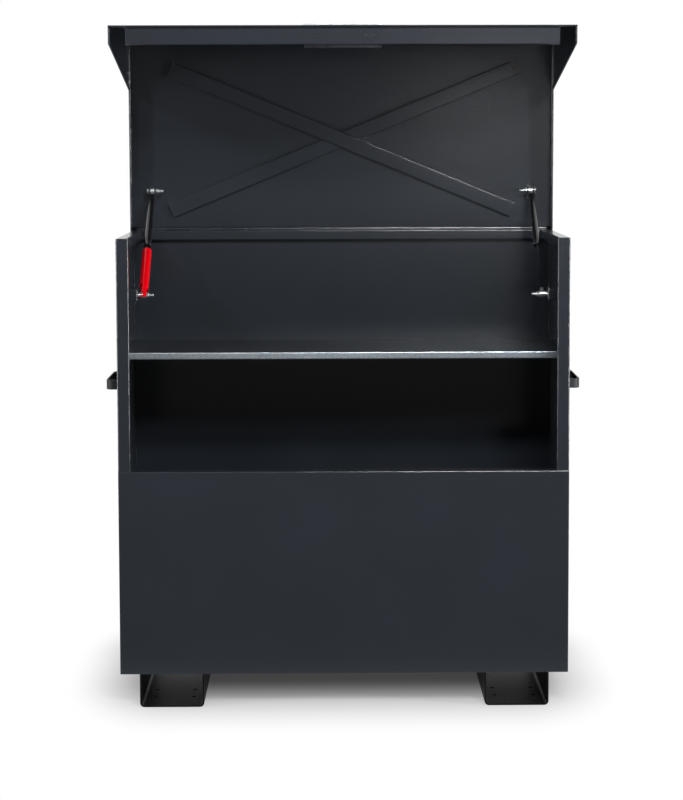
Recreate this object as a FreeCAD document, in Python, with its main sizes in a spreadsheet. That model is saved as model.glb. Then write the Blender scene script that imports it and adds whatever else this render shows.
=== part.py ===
import FreeCAD, Part
import math
import os
import re

import Sketcher
from FreeCAD import Placement, Rotation, Vector

# A steel jobsite storage box: a tall welded body on two fork skids, closed by an L-shaped lid
# that swings on a continuous hinge along the rear top edge and is held up by two gas struts.
#
# Frame: X to the right, Y to the rear, Z up. The origin lies on the ground under the middle of
# the body. The lid is modelled closed about its hinge axis, then stands open by its Placement.
# On the lid, u runs from the hinge to the front edge and v from the hinge down the front panel.

SIZES = [
    # welded body
    ("body_width", 1200, "outside width"),
    ("body_depth", 550, "outside depth"),
    ("body_height", 1166, "from the floor panel's underside to the rim"),
    ("sheet", 2, "body sheet"),
    ("front_panel_height", 546, "from the floor panel's underside to the sill"),
    ("stile_width", 33, "face of the upright beside the front opening"),
    ("stile_return", 14, "inward fold on the upright's inner edge"),
    ("rim_width", 30, "inward flange along the top of each side"),
    ("rim_lip", 26, "downward fold on the inner edge of that flange"),
    ("rail_depth", 20, "inward flange along the top of the back"),
    ("sill_depth", 46, "inward flange along the top of the front panel"),
    ("sill_lip", 16, "downward fold on the inner edge of the sill"),
    ("weld_gap", 0.3, "gap at butted sheet edges"),
    ("overshoot", 1, "how far a cutting tool runs past a face"),
    # fork skids with bolt holes for castors
    ("skid_height", 90, "from the ground to the floor panel"),
    ("skid_width", 172, "outside width of a skid"),
    ("skid_wall", 4, "skid plate"),
    ("skid_inset", 52, "from the body's side to the skid's outer wall"),
    ("skid_bend", 12, "outside radius of the skid's lower corners"),
    ("castor_pitch_x", 105, "castor holes across the skid"),
    ("castor_pitch_y", 80, "castor holes along the skid"),
    ("castor_inset", 97, "from a skid end to the first row of holes"),
    ("castor_hole", 11, "castor hole diameter"),
    # shelf
    ("shelf_top", 938, "height of the shelf's top face above the ground"),
    ("shelf_depth", 372, "front to back"),
    ("shelf_sheet", 1.5, "shelf sheet"),
    ("shelf_lip", 19, "folded front edge of the shelf"),
    ("shelf_fold", 9, "inward fold under the shelf's front edge"),
    ("shelf_play", 1.5, "gap between the shelf and the walls"),
    ("angle_leg", 30, "leg of the shelf angles on the wall"),
    ("angle_ledge", 24, "ledge of the shelf angles"),
    # grab handles
    ("handle_length", 235, "outside length"),
    ("handle_reach", 42, "how far a handle stands out"),
    ("handle_bar", 26, "height of the flat bar"),
    ("handle_thickness", 6, "thickness of the flat bar"),
    ("handle_bend", 20, "outside radius of a handle's corners"),
    ("handle_middle", -25, "middle of a handle, front to back"),
    ("handle_level", 855, "height of a handle's middle"),
    # continuous hinge
    ("hinge_inset", 10, "from the body's side to the hinge's end"),
    ("hinge_rise", 3, "hinge axis above the rim"),
    ("knuckle_radius", 5, "outside radius of a knuckle"),
    ("knuckle_count", 15, "knuckles, shared by the two leaves in turn"),
    ("knuckle_gap", 0.4, "gap between neighbouring knuckles"),
    ("pin_radius", 2.5, "hinge pin"),
    ("pin_fit", 0.05, "radial clearance of the hinge pin"),
    ("leaf_sheet", 2, "hinge leaf"),
    ("leaf_gap", 0.5, "gap between a leaf and the other leaf's knuckles"),
    ("fixed_leaf", 34, "depth of the leaf on the back panel"),
    ("moving_leaf", 26, "width of the leaf on the outside of the lid"),
    # lid
    ("lid_sheet", 2, "lid sheet"),
    ("lid_lean", 1, "degrees short of upright when the lid is open"),
    ("lid_side_gap", 3.5, "between the body's side and the lid's side"),
    ("lid_front_gap", 4, "between the body's front and the lid's front panel"),
    ("sill_gap", 3, "between the sill and the closed lid's lip"),
    ("lid_flange", 35, "depth of the lid's side flange"),
    ("flange_tail", 8, "the side flange past the hinge axis"),
    ("hem_width", 10, "doubled edge of the flange and cheek"),
    ("cheek_run", 166, "from the lid's front to where the cheek leaves the side flange"),
    ("cheek_nose", 49, "depth of the cheek at the lip"),
    ("lid_overlap", 10, "front panel and cheeks past the lip, over the body's front"),
    ("lip_depth", 50, "lip along the lid's lower front edge"),
    ("lip_fold", 12, "fold on the lip's inner edge"),
    ("lip_side_gap", 6, "between the lip and the uprights"),
    # cross brace inside the lid
    ("brace_width", 42, "strip width"),
    ("brace_depth", 10, "how far a strip stands off the lid"),
    ("brace_sheet", 1.5, "strip sheet"),
    ("brace_side_gap", 80, "from the body's rim to a strip's end"),
    ("brace_rear_gap", 26, "from the body's rear rail to a strip's end"),
    ("brace_front_gap", 102, "from the lid's front panel to a strip's end"),
    # gas struts
    ("strut_inset", 57, "strut plane from the inside of the body's side"),
    ("strut_foot_run", 395, "lower pivot forward of the hinge axis"),
    ("strut_foot_drop", 160, "lower pivot below the rim"),
    ("strut_head_u", 110, "upper pivot along u"),
    ("strut_head_v", 32, "upper pivot along v"),
    ("tube_radius", 9.5, "pressure tube"),
    ("tube_wall", 1.5, "wall of the pressure tube"),
    ("tube_spare", 52, "length of the pressure tube beyond the stroke and its fittings"),
    ("tube_cap", 8, "end caps of the pressure tube"),
    ("tube_round", 2, "rolled ends of the pressure tube"),
    ("rod_radius", 4, "piston rod"),
    ("piston_length", 10, "piston inside the tube"),
    ("piston_margin", 8, "from the tube's lower cap to the piston"),
    ("slide_fit", 0.1, "radial clearance of rod and piston"),
    ("eye_radius", 9, "strut end eye"),
    ("eye_width", 13, "strut end eye, across"),
    ("eye_reach", 22, "from an eye's centre to the rod or tube"),
    ("shank_radius", 5, "neck between eye and rod or tube"),
    ("bolt_radius", 4, "pivot bolt"),
    ("bolt_fit", 0.1, "radial clearance of the pivot bolts"),
    ("bolt_tail", 12, "thread past the nut"),
    ("nut_flats", 13, "across the flats of nut and bolt head"),
    ("nut_length", 8, "self-locking nut"),
    ("head_length", 5.3, "bolt head"),
    ("washer_radius", 8, "washer"),
    ("washer_sheet", 1.6, "washer"),
    ("spacer_radius", 7, "spacer beside the lower eye"),
    ("face_gap", 0.3, "running gap at the faces of eyes and sleeve"),
    ("bracket_gap", 1, "between the sleeve's place and the body bracket"),
    ("bracket_height", 32, "body bracket"),
    ("bracket_depth", 40, "body bracket, front to back"),
    ("bracket_sheet", 3, "bracket plate"),
    ("fork_width", 22, "lid bracket along u"),
    ("fork_play", 0.5, "gap on each side of the upper eye"),
    ("fork_foot", 44, "foot of the lid bracket along u"),
    # red safety sleeve on the left strut
    ("sleeve_radius", 13, "outside radius"),
    ("sleeve_wall", 1.7, "sheet of the sleeve"),
    ("sleeve_hook", 18, "hook past the lower pivot"),
    ("sleeve_slit", 14, "lengthwise opening at the back"),
    ("sleeve_window", 35, "side window above the lower pivot"),
    ("sleeve_rest", 20, "gap between the sleeve and the tube with the lid fully open"),
    ("sleeve_notch", 8, "side notch in the sleeve's foot, along the strut"),
    ("sleeve_toe", 5, "strip below that notch"),
    ("sleeve_notch_reach", 3, "that notch past the middle"),
    ("sleeve_hole", 1.8, "radius of the two holes near the top"),
    ("sleeve_hole_drop", 20, "those holes below the sleeve's top"),
    ("sleeve_hole_spread", 4.5, "those holes from the middle"),
    # lock in the lid
    ("lock_side_room", 18, "from a deadbolt to the end of the lock case"),
    ("lock_headroom", 30, "from the deadbolts to the top of the lock case"),
    ("lock_overhang", 8, "lock case past the lip"),
    ("lock_sheet", 1.5, "lock case sheet"),
    ("deadbolt_spread", 70, "deadbolts from the middle"),
    ("deadbolt_width", 24, "across"),
    ("deadbolt_thickness", 12, "along u"),
    ("deadbolt_stub", 5, "deadbolt past the bar that joins the two"),
    ("deadbolt_setback", 28, "from the lid's front panel to a deadbolt's middle"),
    ("deadbolt_fit", 0.5, "gap round a deadbolt in its slots"),
    ("deadbolt_recess", 0.3, "bolt end above the lip's outer face"),
    ("keeper_sheet", 3, "keeper plate under the sill"),
    ("keeper_margin", 6, "keeper plate past its slots"),
    ("tie_bar", 16, "bar that joins the deadbolts, along v"),
    ("tie_bar_sheet", 3, "that bar's thickness"),
    ("key_height", 60, "lock cylinder above the lip's outer face"),
    ("key_radius", 11, "lock cylinder"),
    ("key_fit", 0.1, "radial clearance of the lock cylinder"),
    ("cam_rim", 1.1, "cam disc outside its pin"),
    ("cam_sheet", 3, "cam disc"),
    ("crank", 9.9, "cam pin from the cylinder's axis"),
    ("crank_pin", 3, "cam pin radius"),
    ("crank_fit", 0.6, "gap round the cam pin in the bar"),
    ("key_slot", 1.6, "key slot width"),
    ("key_slot_length", 10, "key slot"),
    ("key_slot_depth", 1.5, "key slot"),
    ("plate_rim", 6, "keyhole plate past its cover"),
    ("plate_sheet", 3, "keyhole plate"),
    ("plate_setback", 3, "keyhole plate to the edge of the lid's front panel"),
    ("cover_pivot", 27, "rivet above the lock cylinder"),
    ("cover_radius", 14, "keyhole cover"),
    ("cover_neck", 7, "keyhole cover round its rivet"),
    ("cover_sheet", 1.5, "keyhole cover"),
    ("cover_gap", 0.1, "keyhole cover's running gap"),
    ("rivet_radius", 2.5, "rivet"),
    ("rivet_head", 5, "rivet head radius"),
    ("rivet_dome", 1.2, "rivet head height"),
]

doc = FreeCAD.newDocument("storage_box")
sheet = doc.addObject("Spreadsheet::Sheet", "Sizes")
for row, (name, value, meaning) in enumerate(SIZES, start=1):
    sheet.set(f"A{row}", name)
    sheet.set(f"B{row}", str(value))
    sheet.set(f"C{row}", meaning)
    sheet.setAlias(f"B{row}", name)
doc.recompute()

SIZE_NAME = re.compile(r"\b(" + "|".join(name for name, value, meaning in SIZES) + r")\b")
NODES = []

# Places that several pieces share, as formulas over the sheet.
INNER = "(body_width / 2 - sheet)"
REAR = "(body_depth / 2)"
FRONT = "(-body_depth / 2)"
BASE = "skid_height"
RIM = "(skid_height + body_height)"
SILL = "(skid_height + front_panel_height)"
HINGE_Y = "(body_depth / 2 + knuckle_radius)"
HINGE_Z = "(skid_height + body_height + hinge_rise)"
LID_INNER = "(body_width / 2 + lid_side_gap)"
LID_OUTER = "(body_width / 2 + lid_side_gap + lid_sheet)"
LID_REAR = "(knuckle_radius + leaf_gap)"
LID_TOP = "(leaf_sheet - knuckle_radius)"
LID_UNDER = "(leaf_sheet - knuckle_radius + lid_sheet)"
LID_BACK_OF_FRONT = "(body_depth + knuckle_radius + lid_front_gap)"
LID_FRONT = "(body_depth + knuckle_radius + lid_front_gap + lid_sheet)"
CHEEK_START = f"({LID_FRONT} - cheek_run)"
HINGE_LENGTH = "(body_width - 2 * hinge_inset)"
LIP = "(body_height - front_panel_height + hinge_rise - sill_gap)"
LIP_INSIDE = f"({LIP} - lid_sheet)"
LID_END = f"({LIP} + lid_overlap)"
HEM_INSIDE = f"({LID_BACK_OF_FRONT} - lid_sheet)"
LIP_EDGE = f"({LID_FRONT} - lip_depth)"
LIP_HALF = "(body_width / 2 - stile_width - lip_side_gap)"
LOCK_BACK = f"({LIP_EDGE} - lock_overhang)"
KEY_V = f"({LIP} - key_height)"
BAR_V = f"({KEY_V} - crank * sin(45))"
BOLT_END = f"({LIP} - deadbolt_recess)"
BOLT_TOP = f"({BAR_V} - tie_bar / 2 - deadbolt_stub)"
BOLT_BACK = f"({LID_BACK_OF_FRONT} - deadbolt_setback - deadbolt_thickness / 2)"
BOLT_FRONT = f"({LID_BACK_OF_FRONT} - deadbolt_setback + deadbolt_thickness / 2)"
BOLT_SIDE = "(deadbolt_spread + deadbolt_width / 2)"
LOCK_HALF = f"({BOLT_SIDE} + lock_side_room)"
LOCK_TOP = f"({BOLT_TOP} - lock_headroom)"
PLATE_FACE = f"({LID_FRONT} + plate_sheet)"
COVER_BACK = f"({PLATE_FACE} + cover_gap)"
COVER_FACE = f"({COVER_BACK} + cover_sheet)"
PANEL_Z = "(knuckle_radius - leaf_sheet - lid_sheet)"
BRACE_HALF_X = "(body_width / 2 - rim_width - brace_side_gap)"
BRACE_REAR = "(knuckle_radius + sheet + rail_depth + brace_rear_gap)"
BRACE_FRONT = f"({LID_BACK_OF_FRONT} - brace_front_gap)"
STRUT_X = f"({INNER} - strut_inset)"
FOOT_Y = f"({HINGE_Y} - strut_foot_run)"
FOOT_Z = f"({RIM} - strut_foot_drop)"
HEAD_Y = f"({HINGE_Y} - strut_head_u * sin(lid_lean) - strut_head_v * cos(lid_lean))"
HEAD_Z = f"({HINGE_Z} + strut_head_u * cos(lid_lean) - strut_head_v * sin(lid_lean))"
STRUT_RUN = f"({HEAD_Y} - {FOOT_Y})"
STRUT_CLIMB = f"({HEAD_Z} - {FOOT_Z})"
STRUT_LENGTH = f"(sqrt({STRUT_RUN} * {STRUT_RUN} + {STRUT_CLIMB} * {STRUT_CLIMB}))"
SHUT_RUN = "(strut_foot_run - strut_head_u)"
SHUT_CLIMB = "(strut_foot_drop + hinge_rise - strut_head_v)"
SHUT_LENGTH = f"(sqrt({SHUT_RUN} * {SHUT_RUN} + {SHUT_CLIMB} * {SHUT_CLIMB}))"
TUBE_FITTINGS = "(2 * tube_cap + piston_margin + piston_length + tube_spare)"
TUBE_LENGTH = f"({STRUT_LENGTH} - {SHUT_LENGTH} + {TUBE_FITTINGS})"
TUBE_FOOT = f"({STRUT_LENGTH} - eye_reach - {TUBE_LENGTH})"
BRACKET_WEB = f"({STRUT_X} + sleeve_radius + bracket_gap)"
FORK_INNER = "(eye_width / 2 + fork_play)"
FORK_OUTER = "(eye_width / 2 + fork_play + bracket_sheet)"
SIDES = (("left", -1), ("right", 1))

# Placements that hold a turning axis, whose place and angle are then bound to formulas.
ABOUT_X = Placement(Vector(), Rotation(Vector(1, 0, 0), 1))
ABOUT_Z = Placement(Vector(), Rotation(Vector(0, 0, 1), 1))
TOUCHING = 0.01
PARALLEL = 0.999


def sized(text):
    """Point the size names in a formula at their cells."""
    return SIZE_NAME.sub(lambda found: "Sizes." + found.group(1), text)


def bind(thing, **formulas):
    """Bind properties to formulas; a double underscore stands for a dot."""
    for path, text in formulas.items():
        thing.setExpression(path.replace("__", "."), sized(text))


def bind_base(thing, x, y, z):
    """Bind the three coordinates of a Placement."""
    bind(thing, Placement__Base__x=x, Placement__Base__y=y, Placement__Base__z=z)


def about(middle, half):
    """The span that reaches half to each side of middle."""
    return (f"{middle} - ({half})", f"{middle} + ({half})")


def beside(side, near, far):
    """The span from near to far on one side of the middle plane."""
    return (near, far) if side > 0 else (f"-({far})", f"-({near})")


# ---------------------------------------------------------------- primitives

def block(x, y, z):
    """A box between two formulas on each axis."""
    solid = doc.addObject("Part::Box", "Block")
    bind(solid, Length=f"({x[1]}) - ({x[0]})", Width=f"({y[1]}) - ({y[0]})", Height=f"({z[1]}) - ({z[0]})")
    bind_base(solid, x[0], y[0], z[0])
    return solid


def lid_block(x, u, v):
    """A box on the lid, which hangs forward along u and down along v."""
    return block(x, (f"-({u[1]})", f"-({u[0]})"), (f"-({v[1]})", f"-({v[0]})"))


TURN_TO = {
    "x": Rotation(Vector(0, 1, 0), 90),
    "y": Rotation(Vector(1, 0, 0), -90),
    "z": Rotation(),
}


def barrel(axis, radius, start, length):
    """A cylinder that runs from start in the direction of an axis."""
    solid = doc.addObject("Part::Cylinder", "Barrel")
    solid.Placement = Placement(Vector(), TURN_TO[axis])
    bind(solid, Radius=radius, Height=length)
    bind_base(solid, *start)
    return solid


def hexagon(flats, start, length):
    """A hexagonal prism that runs along X."""
    solid = doc.addObject("Part::Prism", "Hexagon")
    solid.Polygon = 6
    solid.Placement = Placement(Vector(), TURN_TO["x"])
    bind(solid, Circumradius=f"{flats} / sqrt(3)", Height=length)
    bind_base(solid, *start)
    return solid


def fuse(*pieces):
    """One shape made of several."""
    joined = doc.addObject("Part::MultiFuse", "Joined")
    joined.Shapes = list(pieces)
    joined.Refine = True
    return joined


def cut(base, *tools):
    """The base without the tools."""
    result = doc.addObject("Part::Cut", "Cut")
    result.Base = base
    result.Tool = tools[0] if len(tools) == 1 else fuse(*tools)
    return result


def held(thing):
    """A holder that can be turned or hung without moving what it holds."""
    holder = doc.addObject("Part::Compound", "Held")
    holder.Links = [thing]
    return holder


def node(label, thing):
    """Name a finished sub-part."""
    thing.Label = label
    NODES.append(thing)
    return thing


# ---------------------------------------------------------------- sketches and features

def attached_sketch(body, plane, offset):
    """An empty sketch on one of the body's own origin planes, moved along its normal."""
    support = [feature for feature in body.Origin.OriginFeatures if feature.Role == plane][0]
    sketch = body.newObject("Sketcher::SketchObject", "Sketch")
    sketch.AttachmentSupport = (support, [""])
    sketch.MapMode = "FlatFace"
    bind(sketch, AttachmentOffset__Base__z=offset)
    return sketch


def place_point(sketch, geometry, point, across, upward):
    """Hold a sketch point at two formulas."""
    for kind, text in (("DistanceX", across), ("DistanceY", upward)):
        index = sketch.addConstraint(Sketcher.Constraint(kind, -1, 1, geometry, point, 1.0))
        sketch.setExpression(f"Constraints[{index}]", sized(text))


def outline(body, plane, offset, points):
    """A closed sketch with straight edges through the given points."""
    sketch = attached_sketch(body, plane, offset)
    count = len(points)
    steps = [2 * math.pi * i / count for i in range(count)]
    ring = [Vector(math.cos(step), math.sin(step), 0) for step in steps]
    for i in range(count):
        sketch.addGeometry(Part.LineSegment(ring[i], ring[(i + 1) % count]), False)
    for i in range(count):
        sketch.addConstraint(Sketcher.Constraint("Coincident", i, 2, (i + 1) % count, 1))
    for i, (across, upward) in enumerate(points):
        place_point(sketch, i, 1, across, upward)
    return sketch


def rectangle(body, plane, offset, across, upward):
    """A sketch of one rectangle between two formulas on each axis."""
    return outline(body, plane, offset, [
        (across[0], upward[0]), (across[1], upward[0]), (across[1], upward[1]), (across[0], upward[1])])


def circles(body, plane, offset, centres, radius):
    """A sketch of equal circles."""
    sketch = attached_sketch(body, plane, offset)
    for i, (across, upward) in enumerate(centres):
        sketch.addGeometry(Part.Circle(Vector(i, i, 0), Vector(0, 0, 1), 0.1), False)
        place_point(sketch, i, 3, across, upward)
        index = sketch.addConstraint(Sketcher.Constraint("Radius", i, 0.1))
        sketch.setExpression(f"Constraints[{index}]", sized(radius))
    return sketch


def new_body(label):
    return node(label, doc.addObject("PartDesign::Body", "Body"))


def pad(body, sketch, length):
    feature = body.newObject("PartDesign::Pad", "Pad")
    feature.Profile = sketch
    bind(feature, Length=length)
    return feature


def drill(body, sketch):
    """Cut a sketch right through, both ways."""
    before = recomputed(body).Volume
    feature = body.newObject("PartDesign::Pocket", "Pocket")
    feature.Profile = sketch
    feature.Type = "ThroughAll"
    feature.SideType = "Symmetric"
    if recomputed(body).Volume >= before:
        raise RuntimeError(f"{body.Label}: the pocket cuts nothing")
    return feature


def revolve(body, sketch):
    """Turn a half section about the body's Z axis."""
    axis = [feature for feature in body.Origin.OriginFeatures if feature.Role == "Z_Axis"][0]
    feature = body.newObject("PartDesign::Revolution", "Revolution")
    feature.Profile = sketch
    feature.ReferenceAxis = (axis, [""])
    feature.Angle = 360
    return feature


def recomputed(body):
    doc.recompute()
    return body.Shape


def edges_along(shape, direction):
    """Names and middles of the straight edges that run in a direction."""
    for number, edge in enumerate(shape.Edges, start=1):
        if edge.Curve.TypeId == "Part::GeomLine" and abs(edge.Curve.Direction.dot(direction)) > PARALLEL:
            yield f"Edge{number}", edge.CenterOfMass


def bend(body, direction, wanted, radius):
    """Round the edges in a direction whose middle point is wanted."""
    shape = recomputed(body)
    names = [name for name, middle in edges_along(shape, direction) if wanted(middle)]
    last = body.Tip
    feature = body.newObject("PartDesign::Fillet", "Bend")
    feature.Base = (last, names)
    bind(feature, Radius=radius)
    return feature


def cell(name):
    """The value of one size."""
    return float(sheet.get(name))


# ---------------------------------------------------------------- how pieces stand

def on_lid(thing):
    """Swing a piece modelled on the closed lid up to the open position."""
    thing.Placement = ABOUT_X
    bind_base(thing, "0", HINGE_Y, HINGE_Z)
    bind(thing, Placement__Rotation__Angle="lid_lean - 90")
    return thing


def on_strut(thing, side, y, z):
    """Lean a piece modelled along Z so that it runs from the lower to the upper pivot."""
    thing.Placement = ABOUT_X
    bind_base(thing, f"{side} * {STRUT_X}", y, z)
    bind(thing, Placement__Rotation__Angle=f"atan2({STRUT_CLIMB}; {STRUT_RUN}) / 1deg - 90")
    return thing


# ================================================================ welded body

def side_panel(name, side):
    """Side sheet with its front upright and its top flange folded in."""
    inner, outer = INNER, "body_width / 2"
    stile_edge = "body_width / 2 - stile_width"
    rim_edge = "body_width / 2 - rim_width"
    stile_z = (f"{SILL} + weld_gap", RIM)
    node(f"side_panel_{name}", fuse(
        block(beside(side, inner, outer), (FRONT, REAR), (BASE, RIM)),
        block(beside(side, stile_edge, inner), (FRONT, f"{FRONT} + sheet"), stile_z),
        block(beside(side, stile_edge, f"{stile_edge} + sheet"),
              (FRONT, f"{FRONT} + sheet + stile_return"), (stile_z[0], f"{RIM} - sheet - weld_gap")),
        block(beside(side, rim_edge, inner), (FRONT, REAR), (f"{RIM} - sheet", RIM)),
        block(beside(side, rim_edge, f"{rim_edge} + sheet"),
              (f"{FRONT} + sheet", f"{REAR} - sheet"), (f"{RIM} - rim_lip", RIM))))


def body_panels():
    """Back, top rear rail, front with its sill, and floor."""
    across = (f"-{INNER}", INNER)
    back = new_body("back_panel")
    pad(back, rectangle(back, "XZ_Plane", f"-{REAR}", across, (BASE, f"{RIM} - sheet")), "sheet")
    rail_half = "body_width / 2 - rim_width - weld_gap"
    rail_x = (f"-({rail_half})", rail_half)
    rail_edge = f"{REAR} - sheet - rail_depth"
    node("rear_rail", fuse(
        block(rail_x, (rail_edge, REAR), (f"{RIM} - sheet", RIM)),
        block(rail_x, (rail_edge, f"{rail_edge} + sheet"), (f"{RIM} - rim_lip", RIM))))
    sill_edge = f"{FRONT} + sheet + sill_depth"
    slots = [
        block(about(f"{side} * deadbolt_spread", "deadbolt_width / 2 + 2 * deadbolt_fit"),
              (f"{HINGE_Y} - {BOLT_FRONT} - 2 * deadbolt_fit", f"{HINGE_Y} - {BOLT_BACK} + 2 * deadbolt_fit"),
              (f"{SILL} - sheet - keeper_sheet - overshoot", f"{SILL} + overshoot"))
        for name, side in SIDES]
    node("front_panel", cut(fuse(
        block(across, (FRONT, f"{FRONT} + sheet"), (BASE, SILL)),
        block(across, (FRONT, sill_edge), (f"{SILL} - sheet", SILL)),
        block(across, (f"{sill_edge} - sheet", sill_edge), (f"{SILL} - sill_lip", SILL))), *slots))
    node("lock_keeper", cut(
        block(about("0", f"{BOLT_SIDE} + 2 * deadbolt_fit + keeper_margin"),
              (f"{HINGE_Y} - {BOLT_FRONT} - keeper_margin", f"{HINGE_Y} - {BOLT_BACK} + keeper_margin"),
              (f"{SILL} - sheet - keeper_sheet", f"{SILL} - sheet")), *slots))
    floor = new_body("floor_panel")
    pad(floor, rectangle(floor, "XY_Plane", BASE, across, (f"{FRONT} + sheet", f"{REAR} - sheet")), "sheet")


def fork_skid(name, side):
    """U-shaped skid with rounded lower corners and two castor hole patterns."""
    body = new_body(f"fork_skid_{name}")
    low, high = beside(side, "body_width / 2 - skid_inset - skid_width", "body_width / 2 - skid_inset")
    pad(body, outline(body, "XZ_Plane", f"-{REAR}", [
        (low, "skid_height"), (low, "0"), (high, "0"), (high, "skid_height"),
        (f"{high} - skid_wall", "skid_height"), (f"{high} - skid_wall", "skid_wall"),
        (f"{low} + skid_wall", "skid_wall"), (f"{low} + skid_wall", "skid_height")]), "body_depth")
    along, wall = Vector(0, 1, 0), cell("skid_wall")
    bend(body, along, lambda middle: abs(middle.z) < TOUCHING, "skid_bend")
    bend(body, along, lambda middle: abs(middle.z - wall) < TOUCHING, "skid_bend - skid_wall")
    middle_x = f"({low} + {high}) / 2"
    rows = [f"{FRONT} + castor_inset", f"{FRONT} + castor_inset + castor_pitch_y",
            f"{REAR} - castor_inset", f"{REAR} - castor_inset - castor_pitch_y"]
    centres = [(f"{middle_x} + {end} * castor_pitch_x / 2", row) for end in (-1, 1) for row in rows]
    drill(body, circles(body, "XY_Plane", "0", centres, "castor_hole / 2"))


def shelf_and_angles():
    """Folded shelf on three angles."""
    front = f"({REAR} - sheet - shelf_play - shelf_depth)"
    half = f"({INNER} - shelf_play)"
    under = "(shelf_top - shelf_sheet)"
    low = "(shelf_top - shelf_lip)"
    across = (f"-{half}", half)
    node("shelf", fuse(
        block(across, (front, f"{REAR} - sheet - shelf_play"), (under, "shelf_top")),
        block(across, (front, f"{front} + shelf_sheet"), (low, "shelf_top")),
        block(across, (front, f"{front} + shelf_fold"), (low, f"{low} + shelf_sheet"))))
    wall_z = (f"{under} - angle_leg", under)
    ledge_z = (f"{under} - sheet", under)
    angle_y = (f"{front} + shelf_fold + shelf_play", f"{REAR} - sheet")
    for name, side in SIDES:
        node(f"shelf_angle_{name}", fuse(
            block(beside(side, f"{INNER} - sheet", INNER), angle_y, wall_z),
            block(beside(side, f"{INNER} - angle_ledge", INNER), angle_y, ledge_z)))
    rear_half = f"{INNER} - angle_ledge - weld_gap"
    rear_x = (f"-({rear_half})", rear_half)
    node("shelf_angle_rear", fuse(
        block(rear_x, (f"{REAR} - 2 * sheet", f"{REAR} - sheet"), wall_z),
        block(rear_x, (f"{REAR} - sheet - angle_ledge", f"{REAR} - sheet"), ledge_z)))


def grab_handle(name, side):
    """Flat bar bent to a U, welded to the side by its two ends."""
    body = new_body(f"grab_handle_{name}")
    wall = f"{side} * body_width / 2"
    tip = f"{side} * (body_width / 2 + handle_reach)"
    inside = f"{side} * (body_width / 2 + handle_reach - handle_thickness)"
    low, high = about("handle_middle", "handle_length / 2")
    pad(body, outline(body, "XY_Plane", "handle_level - handle_bar / 2", [
        (wall, low), (tip, low), (tip, high), (wall, high),
        (wall, f"{high} - handle_thickness"), (inside, f"{high} - handle_thickness"),
        (inside, f"{low} + handle_thickness"), (wall, f"{low} + handle_thickness")]), "handle_bar")
    wall_x = cell("body_width") / 2
    tip_x = wall_x + cell("handle_reach")
    inside_x = tip_x - cell("handle_thickness")
    up = Vector(0, 0, 1)
    bend(body, up, lambda middle: abs(abs(middle.x) - tip_x) < TOUCHING, "handle_bend")
    bend(body, up, lambda middle: abs(abs(middle.x) - inside_x) < TOUCHING, "handle_bend - handle_thickness")


# ================================================================ continuous hinge

def hinge():
    """Two leaves whose knuckles alternate along one pin."""
    count = int(cell("knuckle_count"))
    pitch = f"{HINGE_LENGTH} / knuckle_count"
    fixed, moving = [], []
    for i in range(count):
        start = f"(-{HINGE_LENGTH} / 2 + {i} * {pitch} + knuckle_gap / 2)"
        length = f"{pitch} - knuckle_gap"
        span = (start, f"{start} + {length}")
        if i % 2 == 0:
            fixed.append(barrel("x", "knuckle_radius", (start, HINGE_Y, HINGE_Z), length))
            fixed.append(block(span, (REAR, f"{REAR} + leaf_sheet"),
                               (f"{HINGE_Z} - knuckle_radius - leaf_gap", HINGE_Z)))
        else:
            moving.append(barrel("x", "knuckle_radius", (start, "0", "0"), length))
            moving.append(lid_block(span, ("0", LID_REAR), ("-knuckle_radius", LID_TOP)))
    across = about("0", f"{HINGE_LENGTH} / 2")
    fixed.append(block(across, (REAR, f"{REAR} + leaf_sheet"),
                       (f"{HINGE_Z} - fixed_leaf", f"{HINGE_Z} - knuckle_radius - leaf_gap")))
    moving.append(lid_block(across, (LID_REAR, "moving_leaf"), ("-knuckle_radius", LID_TOP)))
    bore = "pin_radius + pin_fit"
    node("hinge_leaf_fixed", cut(
        fuse(*fixed), barrel("x", bore, (across[0], HINGE_Y, HINGE_Z), HINGE_LENGTH)))
    on_lid(node("hinge_leaf_moving", cut(
        fuse(*moving), barrel("x", bore, (across[0], "0", "0"), HINGE_LENGTH))))
    node("hinge_pin", barrel("x", "pin_radius", (across[0], HINGE_Y, HINGE_Z), HINGE_LENGTH))


# ================================================================ lid

def lid_panels():
    """Top panel with hemmed side flanges, and front panel with its lip."""
    outer = (f"-{LID_OUTER}", LID_OUTER)
    inner = (f"-{LID_INNER}", LID_INNER)
    flanges = []
    for name, side in SIDES:
        flanges.append(lid_block(beside(side, LID_INNER, LID_OUTER), ("-flange_tail", LID_FRONT),
                                 (LID_TOP, "lid_flange")))
        flanges.append(lid_block(beside(side, f"{LID_INNER} - lid_sheet", LID_INNER),
                                 ("-flange_tail", LID_BACK_OF_FRONT), ("lid_flange - hem_width", "lid_flange")))
    on_lid(node("lid_top_panel", fuse(
        lid_block(outer, (LID_REAR, LID_FRONT), (LID_TOP, LID_UNDER)), *flanges)))
    folds = [
        lid_block(beside(side, f"{LOCK_HALF} + weld_gap", LIP_HALF),
                  (LIP_EDGE, f"{LIP_EDGE} + lid_sheet"), (f"{LIP} - lip_fold", LIP))
        for name, side in SIDES]
    front = fuse(
        lid_block(inner, (LID_BACK_OF_FRONT, LID_FRONT), (LID_UNDER, LID_END)),
        lid_block(inner, (HEM_INSIDE, LID_BACK_OF_FRONT), (LIP, LID_END)),
        lid_block((f"-{LIP_HALF}", LIP_HALF), (LIP_EDGE, LID_FRONT), (LIP_INSIDE, LIP)), *folds)
    on_lid(node("lid_front_panel", cut(front, *deadbolt_slots(LIP_INSIDE, LIP), key_bore())))


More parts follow.
